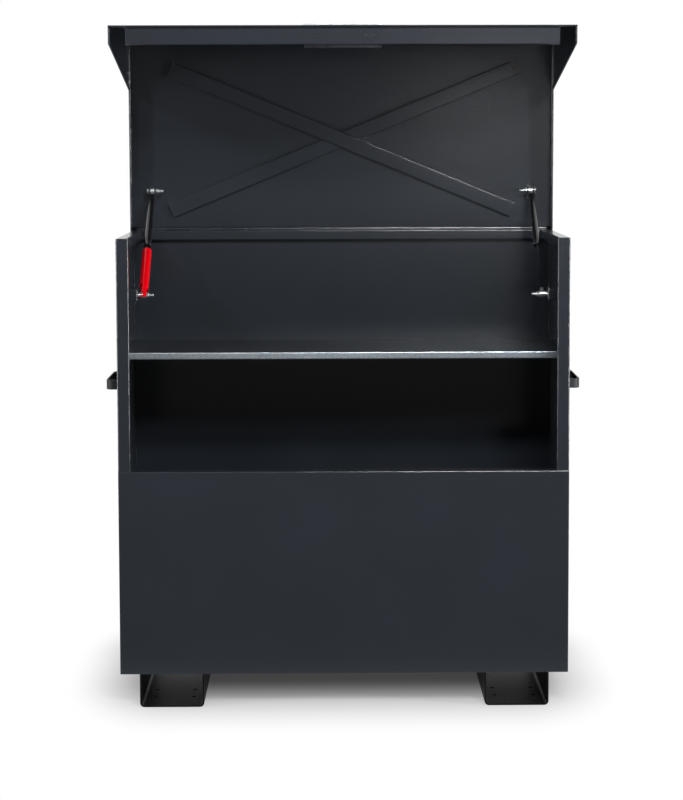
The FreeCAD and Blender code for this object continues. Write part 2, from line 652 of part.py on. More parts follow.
def deadbolt_slots(top, bottom):
    """Tools that open the deadbolt slots between two levels."""
    return [lid_block(about(f"{side} * deadbolt_spread", "deadbolt_width / 2 + deadbolt_fit"),
                      (f"{BOLT_BACK} - deadbolt_fit", f"{BOLT_FRONT} + deadbolt_fit"),
                      (f"{top} - overshoot", f"{bottom} + overshoot")) for name, side in SIDES]


def key_bore():
    """Tool that opens the hole for the lock cylinder."""
    return barrel("y", "key_radius + key_fit", ("0", f"-({PLATE_FACE} + overshoot)", f"-{KEY_V}"),
                  f"{PLATE_FACE} - {LID_BACK_OF_FRONT} + 2 * overshoot")


def lid_cheek(name, side):
    """Tapering side of the lid between the side flange and the lip, with a doubled edge."""
    body = on_lid(new_body(f"lid_cheek_{name}"))
    nose = f"({LID_FRONT} - cheek_nose)"
    low, high = beside(side, LID_INNER, LID_OUTER)
    pad(body, outline(body, "YZ_Plane", low, [
        (f"-{CHEEK_START}", "-lid_flange"), (f"-{LID_FRONT}", "-lid_flange"),
        (f"-{LID_FRONT}", f"-{LID_END}"), (f"-{nose}", f"-{LID_END}")]), f"{high} - ({low})")
    low, high = beside(side, f"{LID_INNER} - lid_sheet", LID_INNER)
    pad(body, outline(body, "YZ_Plane", low, [
        (f"-{CHEEK_START}", "-lid_flange"), (f"-{CHEEK_START} - hem_width", "-lid_flange"),
        (f"-{nose} - hem_width", f"-{LID_END} + hem_width"),
        (f"-{HEM_INSIDE} + weld_gap", f"-{LID_END} + hem_width"),
        (f"-{HEM_INSIDE} + weld_gap", f"-{LID_END}"), (f"-{nose}", f"-{LID_END}")]), f"{high} - ({low})")


def lid_brace():
    """Three folded strips that cross inside the lid, the long one whole and the others butted to it."""
    rise = f"(({BRACE_FRONT} - {BRACE_REAR}) / 2)"
    middle_u = f"({BRACE_REAR} + {rise})"
    half_length = f"sqrt({BRACE_HALF_X} * {BRACE_HALF_X} + {rise} * {rise})"
    angle = f"atan2({rise}; {BRACE_HALF_X})"
    strip_z = (f"{PANEL_Z} - brace_depth", PANEL_Z)
    deep_z = (f"{PANEL_Z} - brace_depth - overshoot", f"{PANEL_Z} + overshoot")

    def crossing(thing, direction):
        turned = held(thing)
        turned.Placement = ABOUT_Z
        bind(turned, Placement__Base__y=f"-{middle_u}", Placement__Rotation__Angle=f"{direction} * {angle}")
        return turned

    def strip(direction):
        hollow = block(about("0", f"{half_length} + overshoot"), about("0", "brace_width / 2 - brace_sheet"),
                       (f"{PANEL_Z} - brace_depth + brace_sheet", f"{PANEL_Z} + overshoot"))
        whole = block(about("0", half_length), about("0", "brace_width / 2"), strip_z)
        return crossing(cut(whole, hollow), direction)

    on_lid(node("lid_brace_long", held(strip(1))))
    for name, side in SIDES:
        around_long = about("0", "brace_width / 2 + weld_gap")
        keep_out = crossing(block(about("0", half_length), around_long, deep_z), 1)
        other_half = crossing(block(beside(-side, "0", f"({half_length} + overshoot)"),
                                    about("0", "brace_width / 2 + overshoot"), deep_z), -1)
        on_lid(node(f"lid_brace_short_{name}", cut(strip(-1), keep_out, other_half)))


def strut_fork(name, side):
    """Bracket on the lid with a cheek on each side of the upper eye."""
    centre = f"{side} * {STRUT_X}"
    bolt_z = "-strut_head_v"
    foot = lid_block(about(centre, FORK_OUTER), about("strut_head_u", "fork_foot / 2"),
                     (LID_UNDER, f"{LID_UNDER} + bracket_sheet"))
    cheeks = []
    for face in (-1, 1):
        near, far = beside(face, FORK_INNER, FORK_OUTER)
        span = (f"{centre} + {near}", f"{centre} + {far}")
        cheeks.append(lid_block(span, about("strut_head_u", "fork_width / 2"), (LID_UNDER, "strut_head_v")))
        cheeks.append(barrel("x", "fork_width / 2", (span[0], "-strut_head_u", bolt_z), "bracket_sheet"))
    through = about(centre, f"{FORK_OUTER} + overshoot")
    bore = barrel("x", "bolt_radius + bolt_fit", (through[0], "-strut_head_u", bolt_z),
                  f"2 * ({FORK_OUTER} + overshoot)")
    on_lid(node(f"strut_fork_{name}", cut(fuse(foot, *cheeks), bore)))


# ================================================================ pivot bolts

def upper_bolts():
    """The bolts through the two lid brackets, each in two parts that leave the eye's width free."""
    y, z = "-strut_head_u", "-strut_head_v"
    heads, tails, nuts = [], [], []
    for name, side in SIDES:
        face, outside = f"({STRUT_X} + {FORK_INNER})", f"({STRUT_X} + {FORK_OUTER})"
        inside = f"({STRUT_X} - {FORK_OUTER})"
        nut_end = f"({inside} - washer_sheet - nut_length)"
        start, end = beside(side, face, outside)
        heads.append(barrel("x", "bolt_radius", (start, y, z), "bracket_sheet"))
        start, end = beside(side, outside, f"({outside} + head_length)")
        heads.append(hexagon("nut_flats", (start, y, z), "head_length"))
        tail = beside(side, f"({nut_end} - bolt_tail)", f"({STRUT_X} - {FORK_INNER})")
        tails.append(barrel("x", "bolt_radius", (tail[0], y, z), f"{tail[1]} - ({tail[0]})"))
        washer = beside(side, f"({inside} - washer_sheet)", inside)
        nut = beside(side, nut_end, f"({inside} - washer_sheet)")
        pile = beside(side, nut_end, inside)
        nuts.append(cut(
            fuse(barrel("x", "washer_radius", (washer[0], y, z), "washer_sheet"),
                 hexagon("nut_flats", (nut[0], y, z), "nut_length")),
            barrel("x", "bolt_radius + bolt_fit", (pile[0], y, z), "washer_sheet + nut_length")))
    on_lid(node("upper_bolt_heads", fuse(*heads)))
    on_lid(node("upper_bolt_threads", fuse(*tails)))
    on_lid(node("upper_lock_nuts", fuse(*nuts)))


def lower_pivots():
    """Brackets on the body's sides with the bolts that the struts turn on."""
    y, z, web = FOOT_Y, FOOT_Z, BRACKET_WEB
    eye_out = f"({STRUT_X} + eye_width / 2 + face_gap)"
    eye_in = f"({STRUT_X} - eye_width / 2 - face_gap)"
    nut_out = f"({eye_in} - washer_sheet)"
    nut_end = f"({nut_out} - nut_length)"
    bore = "bolt_radius + bolt_fit"
    bolts, spacers, washers, nuts = [], [], [], []
    for name, side in SIDES:
        deep = about(y, "bracket_depth / 2")
        low, high = about(z, "bracket_height / 2")
        web_x = beside(side, web, f"{web} + bracket_sheet")
        node(f"strut_bracket_{name}", cut(
            fuse(block(web_x, deep, (low, high)),
                 block(beside(side, web, INNER), deep, (f"{high} - bracket_sheet", high)),
                 block(beside(side, web, INNER), deep, (low, f"{low} + bracket_sheet")),
                 block(beside(side, web, INNER), (deep[0], f"{deep[0]} + bracket_sheet"), (low, high))),
            barrel("x", bore, (f"{web_x[0]} - overshoot", y, z), "bracket_sheet + 2 * overshoot")))
        shank = beside(side, f"({nut_end} - bolt_tail)", f"({web} + bracket_sheet)")
        head = beside(side, f"({web} + bracket_sheet)", f"({web} + bracket_sheet + head_length)")
        bolts.append(barrel("x", "bolt_radius", (shank[0], y, z), f"{shank[1]} - ({shank[0]})"))
        bolts.append(hexagon("nut_flats", (head[0], y, z), "head_length"))
        for pile, near, far, solid in (
                (spacers, eye_out, web, barrel("x", "spacer_radius", ("0", y, z), f"{web} - {eye_out}")),
                (washers, nut_out, eye_in, barrel("x", "washer_radius", ("0", y, z), "washer_sheet")),
                (nuts, nut_end, nut_out, hexagon("nut_flats", ("0", y, z), "nut_length"))):
            start, end = beside(side, near, far)
            bind(solid, Placement__Base__x=start)
            pile.append(cut(solid, barrel("x", bore, (start, y, z), f"{far} - {near}")))
    node("lower_bolts", fuse(*bolts))
    node("lower_spacers", fuse(*spacers))
    node("lower_washers", fuse(*washers))
    node("lower_lock_nuts", fuse(*nuts))


# ================================================================ gas struts

def strut_eye(label, side, y, z, direction):
    """Ring on the pivot bolt with a neck towards the rod or the tube."""
    ring = barrel("x", "eye_radius", ("-eye_width / 2", "0", "0"), "eye_width")
    neck_z = beside(direction, "eye_radius / 2", "eye_reach")
    neck = barrel("z", "shank_radius", ("0", "0", neck_z[0]), "eye_reach - eye_radius / 2")
    bore = barrel("x", "bolt_radius + bolt_fit", ("-eye_width / 2", "0", "0"), "eye_width")
    on_strut(node(label, cut(fuse(ring, neck), bore)), side, y, z)


def strut(name, side):
    """Rod with its piston on the lower eye, tube on the upper eye."""
    strut_eye(f"strut_foot_eye_{name}", side, FOOT_Y, FOOT_Z, 1)
    strut_eye(f"strut_head_eye_{name}", side, HEAD_Y, HEAD_Z, -1)
    rod = on_strut(new_body(f"strut_rod_{name}"), side, FOOT_Y, FOOT_Z)
    piston = f"({TUBE_FOOT} + tube_cap + piston_margin)"
    bore = "tube_radius - tube_wall - slide_fit"
    revolve(rod, outline(rod, "XZ_Plane", "0", [
        ("0", "eye_reach"), ("rod_radius", "eye_reach"), ("rod_radius", piston), (bore, piston),
        (bore, f"{piston} + piston_length"), ("0", f"{piston} + piston_length")]))
    tube = on_strut(new_body(f"strut_tube_{name}"), side, HEAD_Y, HEAD_Z)
    top, low = "-eye_reach", f"(-eye_reach - {TUBE_LENGTH})"
    seal, hollow = "rod_radius + slide_fit", "tube_radius - tube_wall"
    revolve(tube, outline(tube, "XZ_Plane", "0", [
        (seal, low), ("tube_radius - tube_round", low), ("tube_radius", f"{low} + tube_round"),
        ("tube_radius", f"{top} - tube_round"), ("tube_radius - tube_round", top), ("0", top),
        ("0", f"{top} - tube_cap"), (hollow, f"{top} - tube_cap"),
        (hollow, f"{low} + tube_cap"), (seal, f"{low} + tube_cap")]))


def safety_sleeve():
    """Slit tube round the left rod, propped between the lower pivot and the pressure tube."""
    top = f"({TUBE_FOOT} - sleeve_rest)"
    wide = "2 * sleeve_radius"
    tall = ("-sleeve_hook", top)
    across_bolt = about("0", "eye_radius + face_gap")
    shell = cut(
        barrel("z", "sleeve_radius", ("0", "0", "-sleeve_hook"), f"{top} + sleeve_hook"),
        barrel("z", "sleeve_radius - sleeve_wall", ("0", "0", "-sleeve_hook"), f"{top} + sleeve_hook"))
    openings = [
        block(about("0", "sleeve_slit / 2"), ("0", wide), tall),
        block(about("0", wide), (across_bolt[0], wide), ("-sleeve_hook - overshoot", "2 * eye_radius")),
        block(("-sleeve_radius", "sleeve_notch_reach"), about("0", wide),
              ("-sleeve_hook + sleeve_toe", "-sleeve_hook + sleeve_toe + sleeve_notch")),
        block(("-sleeve_radius", "-eye_width / 2 + sleeve_wall"), about("0", wide),
              ("-eye_radius", "sleeve_window"))]
    for offset in (-1, 1):
        hole_start = (f"{offset} * sleeve_hole_spread", "-sleeve_radius", f"{top} - sleeve_hole_drop")
        openings.append(barrel("y", "sleeve_hole", hole_start, "sleeve_radius"))
    on_strut(node("safety_sleeve", cut(shell, *openings)), -1, FOOT_Y, FOOT_Z)


# ================================================================ lock

def lock_case():
    """Open-backed case inside the lid's lip."""
    depth = (LOCK_BACK, LID_BACK_OF_FRONT)
    outer = lid_block(about("0", LOCK_HALF), depth, (LOCK_TOP, LIP_INSIDE))
    hollow = lid_block(about("0", f"{LOCK_HALF} - lock_sheet"),
                       (f"{LOCK_BACK} + lock_sheet", LID_BACK_OF_FRONT),
                       (f"{LOCK_TOP} + lock_sheet", f"{LIP_INSIDE} - lock_sheet"))
    on_lid(node("lock_case", cut(outer, hollow, *deadbolt_slots(f"{LIP_INSIDE} - lock_sheet", LIP_INSIDE))))


def deadbolts():
    """Two bolts and the bar that moves them together."""
    for name, side in SIDES:
        centre = f"{side} * deadbolt_spread"
        bolt = on_lid(new_body(f"deadbolt_{name}"))
        pad(bolt, rectangle(bolt, "XY_Plane", f"-{BOLT_END}", about(centre, "deadbolt_width / 2"),
                            (f"-{BOLT_FRONT}", f"-{BOLT_BACK}")), f"{BOLT_END} - {BOLT_TOP}")
    bar = on_lid(new_body("lock_tie_bar"))
    pad(bar, rectangle(bar, "XZ_Plane", BOLT_FRONT, about("0", BOLT_SIDE),
                       about(f"-{BAR_V}", "tie_bar / 2")), "tie_bar_sheet")
    slot_x = ("crank * cos(45) - crank_pin - crank_fit", "crank + crank_pin + crank_fit")
    drill(bar, rectangle(bar, "XZ_Plane", BOLT_FRONT, slot_x, about(f"-{BAR_V}", "crank_pin + crank_fit")))


def key_cylinder():
    """Lock cylinder with a key slot, and the cam whose pin moves the bar."""
    cam_back = f"({BOLT_FRONT} + tie_bar_sheet + face_gap)"
    cam_front = f"({cam_back} + cam_sheet)"
    axis_z = f"-{KEY_V}"
    barrel_front = barrel("y", "key_radius", ("0", f"-{PLATE_FACE}", axis_z), f"{PLATE_FACE} - {cam_front}")
    slot_depth = (f"{PLATE_FACE} - key_slot_depth", f"{PLATE_FACE} + overshoot")
    slot = lid_block(about("0", "key_slot / 2"), slot_depth, about(KEY_V, "key_slot_length / 2"))
    on_lid(node("lock_cylinder", cut(barrel_front, slot)))
    pin = barrel("y", "crank_pin", ("crank * cos(45)", f"-{cam_back}", f"-{BAR_V}"),
                 f"{cam_back} - {BOLT_FRONT} - face_gap")
    disc = barrel("y", "crank + crank_pin + cam_rim", ("0", f"-{cam_front}", axis_z), "cam_sheet")
    on_lid(node("lock_cam", fuse(disc, pin)))


def keyhole_fittings():
    """Plate round the lock cylinder, and the cover that swings on a rivet."""
    pivot_v = f"({KEY_V} - cover_pivot)"
    plate = lid_block(about("0", f"{LOCK_HALF} + plate_rim"), (LID_FRONT, PLATE_FACE),
                      (f"{pivot_v} - cover_neck - plate_rim", f"{LID_END} - plate_setback"))
    on_lid(node("keyhole_plate", cut(plate, key_bore())))

    def disc(radius, v):
        return barrel("y", radius, ("0", f"-{COVER_FACE}", f"-{v}"), "cover_sheet")

    blank = fuse(disc("cover_radius", KEY_V), disc("cover_neck", pivot_v),
                 lid_block(about("0", "cover_neck"), (COVER_BACK, COVER_FACE), (pivot_v, KEY_V)))
    on_lid(node("keyhole_cover", cut(blank, disc("rivet_radius + cover_gap", pivot_v))))
    head = f"({COVER_FACE} + cover_gap)"
    on_lid(node("keyhole_rivet", fuse(
        barrel("y", "rivet_radius", ("0", f"-{head}", f"-{pivot_v}"), f"{head} - {PLATE_FACE}"),
        barrel("y", "rivet_head", ("0", f"-({head} + rivet_dome)", f"-{pivot_v}"), "rivet_dome"))))


# ================================================================ export

def failed_objects():
    """Objects that did not recompute, and sub-parts without a sound shape."""
    broken = [thing.Name for thing in doc.Objects if {"Invalid", "Error"} & set(thing.State)]
    unsound = [thing.Label for thing in NODES if thing.Shape.isNull() or not thing.Shape.isValid()]
    return broken + unsound


body_panels()
for side_name, side_sign in SIDES:
    side_panel(side_name, side_sign)
    fork_skid(side_name, side_sign)
    grab_handle(side_name, side_sign)
    lid_cheek(side_name, side_sign)
    strut_fork(side_name, side_sign)
    strut(side_name, side_sign)
shelf_and_angles()
hinge()
lid_panels()
lid_brace()
upper_bolts()
lower_pivots()
safety_sleeve()
lock_case()
deadbolts()
key_cylinder()
keyhole_fittings()
doc.recompute()

problems = failed_objects()
if problems:
    raise RuntimeError("not sound: " + ", ".join(problems))
os.makedirs("parts", exist_ok=True)
for thing in NODES:
    thing.Shape.exportStep(os.path.join("parts", thing.Label + ".step"))
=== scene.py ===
import math

import bmesh
import bpy
from mathutils import Matrix, Vector


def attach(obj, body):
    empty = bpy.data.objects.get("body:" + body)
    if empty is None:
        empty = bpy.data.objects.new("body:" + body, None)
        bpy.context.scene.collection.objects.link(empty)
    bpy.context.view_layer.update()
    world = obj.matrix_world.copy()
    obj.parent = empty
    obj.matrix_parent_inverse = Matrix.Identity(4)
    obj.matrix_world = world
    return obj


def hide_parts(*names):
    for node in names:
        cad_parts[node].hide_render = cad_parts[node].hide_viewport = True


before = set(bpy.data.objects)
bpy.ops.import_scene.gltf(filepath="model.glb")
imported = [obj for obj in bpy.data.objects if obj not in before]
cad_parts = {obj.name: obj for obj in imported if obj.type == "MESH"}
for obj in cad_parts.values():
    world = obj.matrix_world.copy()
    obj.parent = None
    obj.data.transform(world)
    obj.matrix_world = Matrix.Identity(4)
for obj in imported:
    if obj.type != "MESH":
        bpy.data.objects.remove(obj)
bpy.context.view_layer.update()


# ---------------------------------------------------------------- fork skids
# Two channels of 4 mm plate, folded with a 12 mm bend, welded under the floor and coated black.
# A fork lift's tines go between them, and each has two patterns of holes for castors.

MM = 0.001


def linear(code):
    """A written sRGB colour as the linear colour that a shader needs."""
    parts = [int(code[i:i + 2], 16) / 255 for i in (1, 3, 5)]
    return (*((c / 12.92 if c <= 0.04045 else ((c + 0.055) / 1.055) ** 2.4) for c in parts), 1.0)


def add(tree, kind, inputs=(), **settings):
    """Add a node, give it its settings, then fill or link its inputs."""
    node = tree.nodes.new(kind)
    for name, value in settings.items():
        setattr(node, name, value)
    for name, value in dict(inputs).items():
        if isinstance(value, bpy.types.NodeSocket):
            tree.links.new(value, node.inputs[name])
        else:
            node.inputs[name].default_value = value
    return node


def new_material(name):
    """A plain material; gives back the material, its tree, its shader and the place of each point."""
    made = bpy.data.materials.new(name)
    made.use_nodes = True
    tree = made.node_tree
    return made, tree, tree.nodes["Principled BSDF"], add(tree, "ShaderNodeTexCoord").outputs["Object"]


def per_mm(size):
    """The scale that gives a pattern of this many millimetres."""
    return 1 / (size * MM)


def ramp(tree, pattern, dark, light, low=0.0, high=1.0):
    """A colour that goes from dark to light as the pattern goes from low to high."""
    node = add(tree, "ShaderNodeValToRGB", {"Fac": pattern})
    for element, place, code in zip(node.color_ramp.elements, (low, high), (dark, light)):
        element.position, element.color = place, linear(code)
    return node.outputs["Color"]


def roughen(tree, shader, pattern, least, most, low=0.0, high=1.0):
    """A roughness that goes from least to most as the pattern goes from low to high."""
    rub = add(tree, "ShaderNodeMapRange", {"Value": pattern, "From Min": low, "From Max": high,
                                           "To Min": least, "To Max": most})
    tree.links.new(rub.outputs["Result"], shader.inputs["Roughness"])


def emboss(tree, shader, pattern, strength, depth):
    """Bumps by the pattern, depth in mm."""
    bump = add(tree, "ShaderNodeBump", {"Height": pattern, "Strength": strength, "Distance": depth * MM})
    tree.links.new(bump.outputs["Normal"], shader.inputs["Normal"])


def powder_coat(name, dark, light, rough, peel, peel_depth, specular):
    """Sprayed and baked powder: a cloudy tone, and an orange peel of bumps and duller spots."""
    made, tree, shader, place = new_material(name)
    cloud = add(tree, "ShaderNodeTexNoise", {"Vector": place, "Scale": per_mm(240), "Detail": 4.0})
    tone = ramp(tree, cloud.outputs["Fac"], dark, light, 0.32, 0.68)
    tree.links.new(tone, shader.inputs["Base Color"])
    skin = add(tree, "ShaderNodeTexNoise", {"Vector": place, "Scale": per_mm(peel), "Detail": 2.5,
                                            "Roughness": 0.6})
    roughen(tree, shader, skin.outputs["Fac"], rough - 0.06, rough + 0.08, 0.3, 0.7)
    emboss(tree, shader, skin.outputs["Fac"], 1.0, peel_depth)
    shader.inputs["Specular IOR Level"].default_value = specular
    return made


# Polyester powder in black: nearly flat black with a dull shine. The peel of a real coat is 1 to 2 mm
# across; it is drawn 3 mm across so that it shows as a grain.
black_powder = powder_coat("black_powder_coat", "#0a0a0b", "#101011", 0.45, 3.0, 0.04, 0.06)


def rounded(points, steps=6):
    """A closed outline through points (across, up, radius), in mm, with an arc at each radius."""
    loop = []
    for i, (across, up, radius) in enumerate(points):
        here = Vector((across, up))
        if not radius:
            loop.append(here)
            continue
        before = (Vector(points[i - 1][:2]) - here).normalized()
        after = (Vector(points[(i + 1) % len(points)][:2]) - here).normalized()
        half = before.angle(after) / 2
        middle = here + (before + after).normalized() * radius / math.sin(half)
        first = here + before * radius / math.tan(half) - middle
        sweep = first.angle_signed(here + after * radius / math.tan(half) - middle)
        for step in range(steps + 1):
            loop.append(middle + Matrix.Rotation(-sweep * step / steps, 2) @ first)
    return loop


def as_mesh(bm):
    """The finished mesh of a shape."""
    mesh = bpy.data.meshes.new("shape")
    bm.to_mesh(mesh)
    bm.free()
    return mesh


def drawn(loop, place, along, edge=0.0):
    """A bar with the outline as its section between two ends, its end edges broken.

    place(across, up, along) turns the section's own sizes into a point of the box, in mm.
    """
    bm = bmesh.new()
    ends = [[bm.verts.new(Vector(place(point[0], point[1], end)) * MM) for point in loop] for end in along]
    count = len(loop)
    for i in range(count):
        bm.faces.new((ends[0][i], ends[0][(i + 1) % count], ends[1][(i + 1) % count], ends[1][i]))
    caps = [bm.faces.new(ends[0]), bm.faces.new(ends[1])]
    bmesh.ops.recalc_face_normals(bm, faces=bm.faces)
    if edge:
        rim = [e for face in caps for e in face.edges]
        bmesh.ops.bevel(bm, geom=rim, offset=edge * MM, segments=2, profile=0.5, affect="EDGES")
    return as_mesh(bm)


def barrel(place, radius, along, sides=24):
    """A round bar, place(across, up, along) giving each point."""
    turn = 2 * math.pi / sides
    loop = [(radius * math.cos(i * turn), radius * math.sin(i * turn)) for i in range(sides)]
    return drawn(loop, place, along)


def settled(piece):
    """The piece's mesh with its modifiers carried out."""
    bpy.context.view_layer.update()
    return bpy.data.meshes.new_from_object(piece.evaluated_get(bpy.context.evaluated_depsgraph_get()))


def combined(operation, first, *others):
    """The first mesh with the others joined to it, cut from it, or kept in common with it."""
    result = first
    for other in others:
        work, tool = (bpy.data.objects.new("work", mesh) for mesh in (result, other))
        for holder in (work, tool):
            bpy.context.scene.collection.objects.link(holder)
        join = work.modifiers.new("Join", "BOOLEAN")
        join.operation, join.solver, join.object = operation, "EXACT", tool
        result = settled(work)
        for holder in (work, tool):
            bpy.data.objects.remove(holder)
    return result


def gathered(meshes):
    """Several meshes as one."""
    bm = bmesh.new()
    for mesh in meshes:
        bm.from_mesh(mesh)
    return as_mesh(bm)


def finished(name, mesh, material, body, stands_for=(), bevel=0.0, crease=33):
    """Put a mesh in the scene as a piece that rides on its body, edges rounded and its finish given.

    It is shaded smooth up to the crease angle, in degrees, and it replaces the nodes it stands for.
    """
    piece = bpy.data.objects.new(name, mesh)
    bpy.context.scene.collection.objects.link(piece)
    if bevel:
        rounding = piece.modifiers.new("Rounding", "BEVEL")
        rounding.limit_method = "WEIGHT"
        rounding.width, rounding.segments = bevel * MM, 3
        rounding.use_clamp_overlap = False
        piece.data = settled(piece)
        piece.modifiers.clear()
    bm = bmesh.new()
    bm.from_mesh(piece.data)
    for face in bm.faces:
        face.smooth = True
    for edge in bm.edges:
        edge.smooth = len(edge.link_faces) == 2 and edge.calc_face_angle() < math.radians(crease)
    bm.to_mesh(piece.data)
    bm.free()
    shading = piece.modifiers.new("Shading", "WEIGHTED_NORMAL")
    shading.keep_sharp = True
    piece.data = settled(piece)
    piece.modifiers.clear()
    piece.data.name = name
    piece.data.materials.clear()
    piece.data.materials.append(material)
    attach(piece, body)
    if stands_for:
        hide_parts(*stands_for)
    return piece


SIDES = (("left", -1), ("right", 1))
HALF_WIDTH, HALF_DEPTH, FLOOR_LEVEL = 600, 275, 90
SKID_NEAR, SKID_FAR, SKID_PLATE, SKID_BEND = 376, 548, 4, 12
CASTOR_X, CASTOR_Y, CASTOR_HOLE = (409.5, 514.5), (-178, -98, 98, 178), 5.5
for side, sign in SIDES:
    inner = SKID_BEND - SKID_PLATE
    section = rounded([
        (SKID_NEAR, FLOOR_LEVEL, 0), (SKID_NEAR, 0, SKID_BEND), (SKID_FAR, 0, SKID_BEND),
        (SKID_FAR, FLOOR_LEVEL, 0), (SKID_FAR - SKID_PLATE, FLOOR_LEVEL, 0),
        (SKID_FAR - SKID_PLATE, SKID_PLATE, inner), (SKID_NEAR + SKID_PLATE, SKID_PLATE, inner),
        (SKID_NEAR + SKID_PLATE, FLOOR_LEVEL, 0)])
    channel = drawn(section, lambda across, up, along: (sign * across, along, up), (-HALF_DEPTH, HALF_DEPTH),
                    0.8)
    drills = gathered([barrel(lambda across, up, along: (sign * x + across, y + up, along), CASTOR_HOLE,
                              (-9, 12)) for x in CASTOR_X for y in CASTOR_Y])
    finished(f"fork_skid_{side}_channel", combined("DIFFERENCE", channel, drills), black_powder, "box",
             [f"fork_skid_{side}"])


# ---------------------------------------------------------------- sides of the body
# 2 mm sheet, each side folded to the upright beside the opening and to the flange and lip along the top,
# with the folds' ends welded and ground flush. All in charcoal powder.

# Polyester powder in charcoal: a faintly blue dark grey with bright edges, and an orange peel, deeper than
# the black one's and as coarse, that breaks up each highlight.
charcoal = powder_coat("charcoal_powder_coat", "#202429", "#22262c", 0.17, 3.0, 0.13, 0.85)

SILL_LEVEL, RIM_LEVEL, SHEET, WELD_GAP = 636, 1256, 2, 0.3
STILE, STILE_FOLD, RIM_WIDTH, RIM_LIP = 33, 16, 30, 26
STILE_OUTER_BEND, STILE_INNER_BEND, FOLD, FOLD_INSIDE, CUT_EDGE = 4, 3.5, 3, 1, 0.5
FRONT = -HALF_DEPTH
for side, sign in SIDES:
    out, wall, stile, rim_edge = HALF_WIDTH, HALF_WIDTH - SHEET, HALF_WIDTH - STILE, HALF_WIDTH - RIM_WIDTH

    def standing(across, up, along):
        """A point of a section drawn from above."""
        return (sign * across, up, along)

    def lying(across, up, along):
        """A point of a section drawn from the front."""
        return (sign * across, along, up)

    wall_low = drawn(rounded([(out, HALF_DEPTH, CUT_EDGE), (out, FRONT, 1.2), (wall, FRONT, 0.4),
                              (wall, HALF_DEPTH, CUT_EDGE)]),
                     standing, (FLOOR_LEVEL, SILL_LEVEL + WELD_GAP), 0.3)
    wall_high = drawn([(out, HALF_DEPTH), (out, FRONT + 6), (wall, FRONT + 6), (wall, HALF_DEPTH)],
                      standing, (SILL_LEVEL - 1, RIM_LEVEL - 5))
    upright = drawn(rounded([
        (out, FRONT + 12, 0), (out, FRONT, STILE_OUTER_BEND), (stile, FRONT, STILE_INNER_BEND),
        (stile, FRONT + STILE_FOLD, 0.6), (stile + SHEET, FRONT + STILE_FOLD, 0.6),
        (stile + SHEET, FRONT + SHEET, FOLD_INSIDE), (wall, FRONT + SHEET, FOLD_INSIDE),
        (wall, FRONT + 12, 0)]), standing, (SILL_LEVEL + WELD_GAP, RIM_LEVEL + 4))
    upright_face = drawn(rounded([
        (out - 60, SILL_LEVEL, 0), (out, SILL_LEVEL, 0), (out, RIM_LEVEL, FOLD), (stile, RIM_LEVEL, 2.5),
        (stile - 3, RIM_LEVEL - 9, 0)]), lying, (FRONT - 15, FRONT + 35))
    rim = drawn(rounded([
        (out, RIM_LEVEL - 60, 0), (out, RIM_LEVEL, FOLD), (rim_edge, RIM_LEVEL, FOLD),
        (rim_edge, RIM_LEVEL - RIM_LIP, CUT_EDGE), (rim_edge + SHEET, RIM_LEVEL - RIM_LIP, CUT_EDGE),
        (rim_edge + SHEET, RIM_LEVEL - SHEET, FOLD_INSIDE), (wall, RIM_LEVEL - SHEET, FOLD_INSIDE),
        (wall, RIM_LEVEL - 60, 0)]), lying, (FRONT + SHEET, HALF_DEPTH), 0.2)
    upright = combined("INTERSECT", upright, upright_face)
    finished(f"side_panel_{side}_sheet", combined("UNION", wall_high, wall_low, upright, rim), charcoal,
             "box", [f"side_panel_{side}"])


# ---------------------------------------------------------------- front, back, rail and floor
# 2 mm sheets between the sides. The front is folded back at the sill, a folded rail closes the top of the
# back, and the floor lies on the skids. They are seam welded at the corners.

def narrowest(face):
    """How wide a flat face is across its longest edge."""
    return face.calc_area() / max(edge.calc_length() for edge in face.edges)


def bent_sheet(node, outer, inner, thin, cut):
    """A folded sheet from its node, its folds rounded by outer and inner.

    A face narrower than thin is the sheet's cut edge, and its own edges are broken by cut.
    """
    bm = bmesh.new()
    bm.from_mesh(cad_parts[node].data)
    bmesh.ops.remove_doubles(bm, verts=bm.verts, dist=1e-6)
    bmesh.ops.dissolve_limit(bm, angle_limit=math.radians(1), verts=bm.verts, edges=bm.edges)
    weight = bm.edges.layers.float.new("bevel_weight_edge")
    width = {face: narrowest(face) / MM for face in bm.faces}
    for edge in bm.edges:
        turn = edge.calc_face_angle_signed() if len(edge.link_faces) == 2 else 0
        if abs(turn) < math.radians(35):
            continue
        across = min(width[face] for face in edge.link_faces)
        wanted = cut if across < thin else outer if turn > 0 else inner
        edge[weight] = min(wanted, 0.4 * across) / outer
    return as_mesh(bm)


def sheet_piece(node, material, body, outer=3.0, inner=1.0, thin=2.6, cut=0.45):
    """A folded sheet from its node, with no corner past the node's own box."""
    corners = [vertex.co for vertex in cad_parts[node].data.vertices]
    low = [min(corner[i] for corner in corners) for i in range(3)]
    high = [max(corner[i] for corner in corners) for i in range(3)]
    folded = bent_sheet(node, outer, inner, thin, cut)
    piece = finished(node + "_sheet", folded, material, body, [node], outer)
    for vertex in piece.data.vertices:
        vertex.co = [min(max(vertex.co[i], low[i]), high[i]) for i in range(3)]


for node in ("front_panel", "back_panel", "rear_rail", "floor_panel"):
    sheet_piece(node, charcoal, "box")


def grown(tree, mesh, **sizes):
    """What a node tree makes of a mesh, as a plain mesh."""
    holder = bpy.data.objects.new("grown", mesh)
    bpy.context.scene.collection.objects.link(holder)
    modifier = holder.modifiers.new("Nodes", "NODES")
    modifier.node_group = tree
    for item in tree.interface.items_tree:
        if item.item_type == "SOCKET" and item.in_out == "INPUT" and item.name in sizes:
            modifier[item.identifier] = sizes[item.name]
    result = settled(holder)
    holder.modifiers.clear()
    bpy.data.objects.remove(holder)
    return result


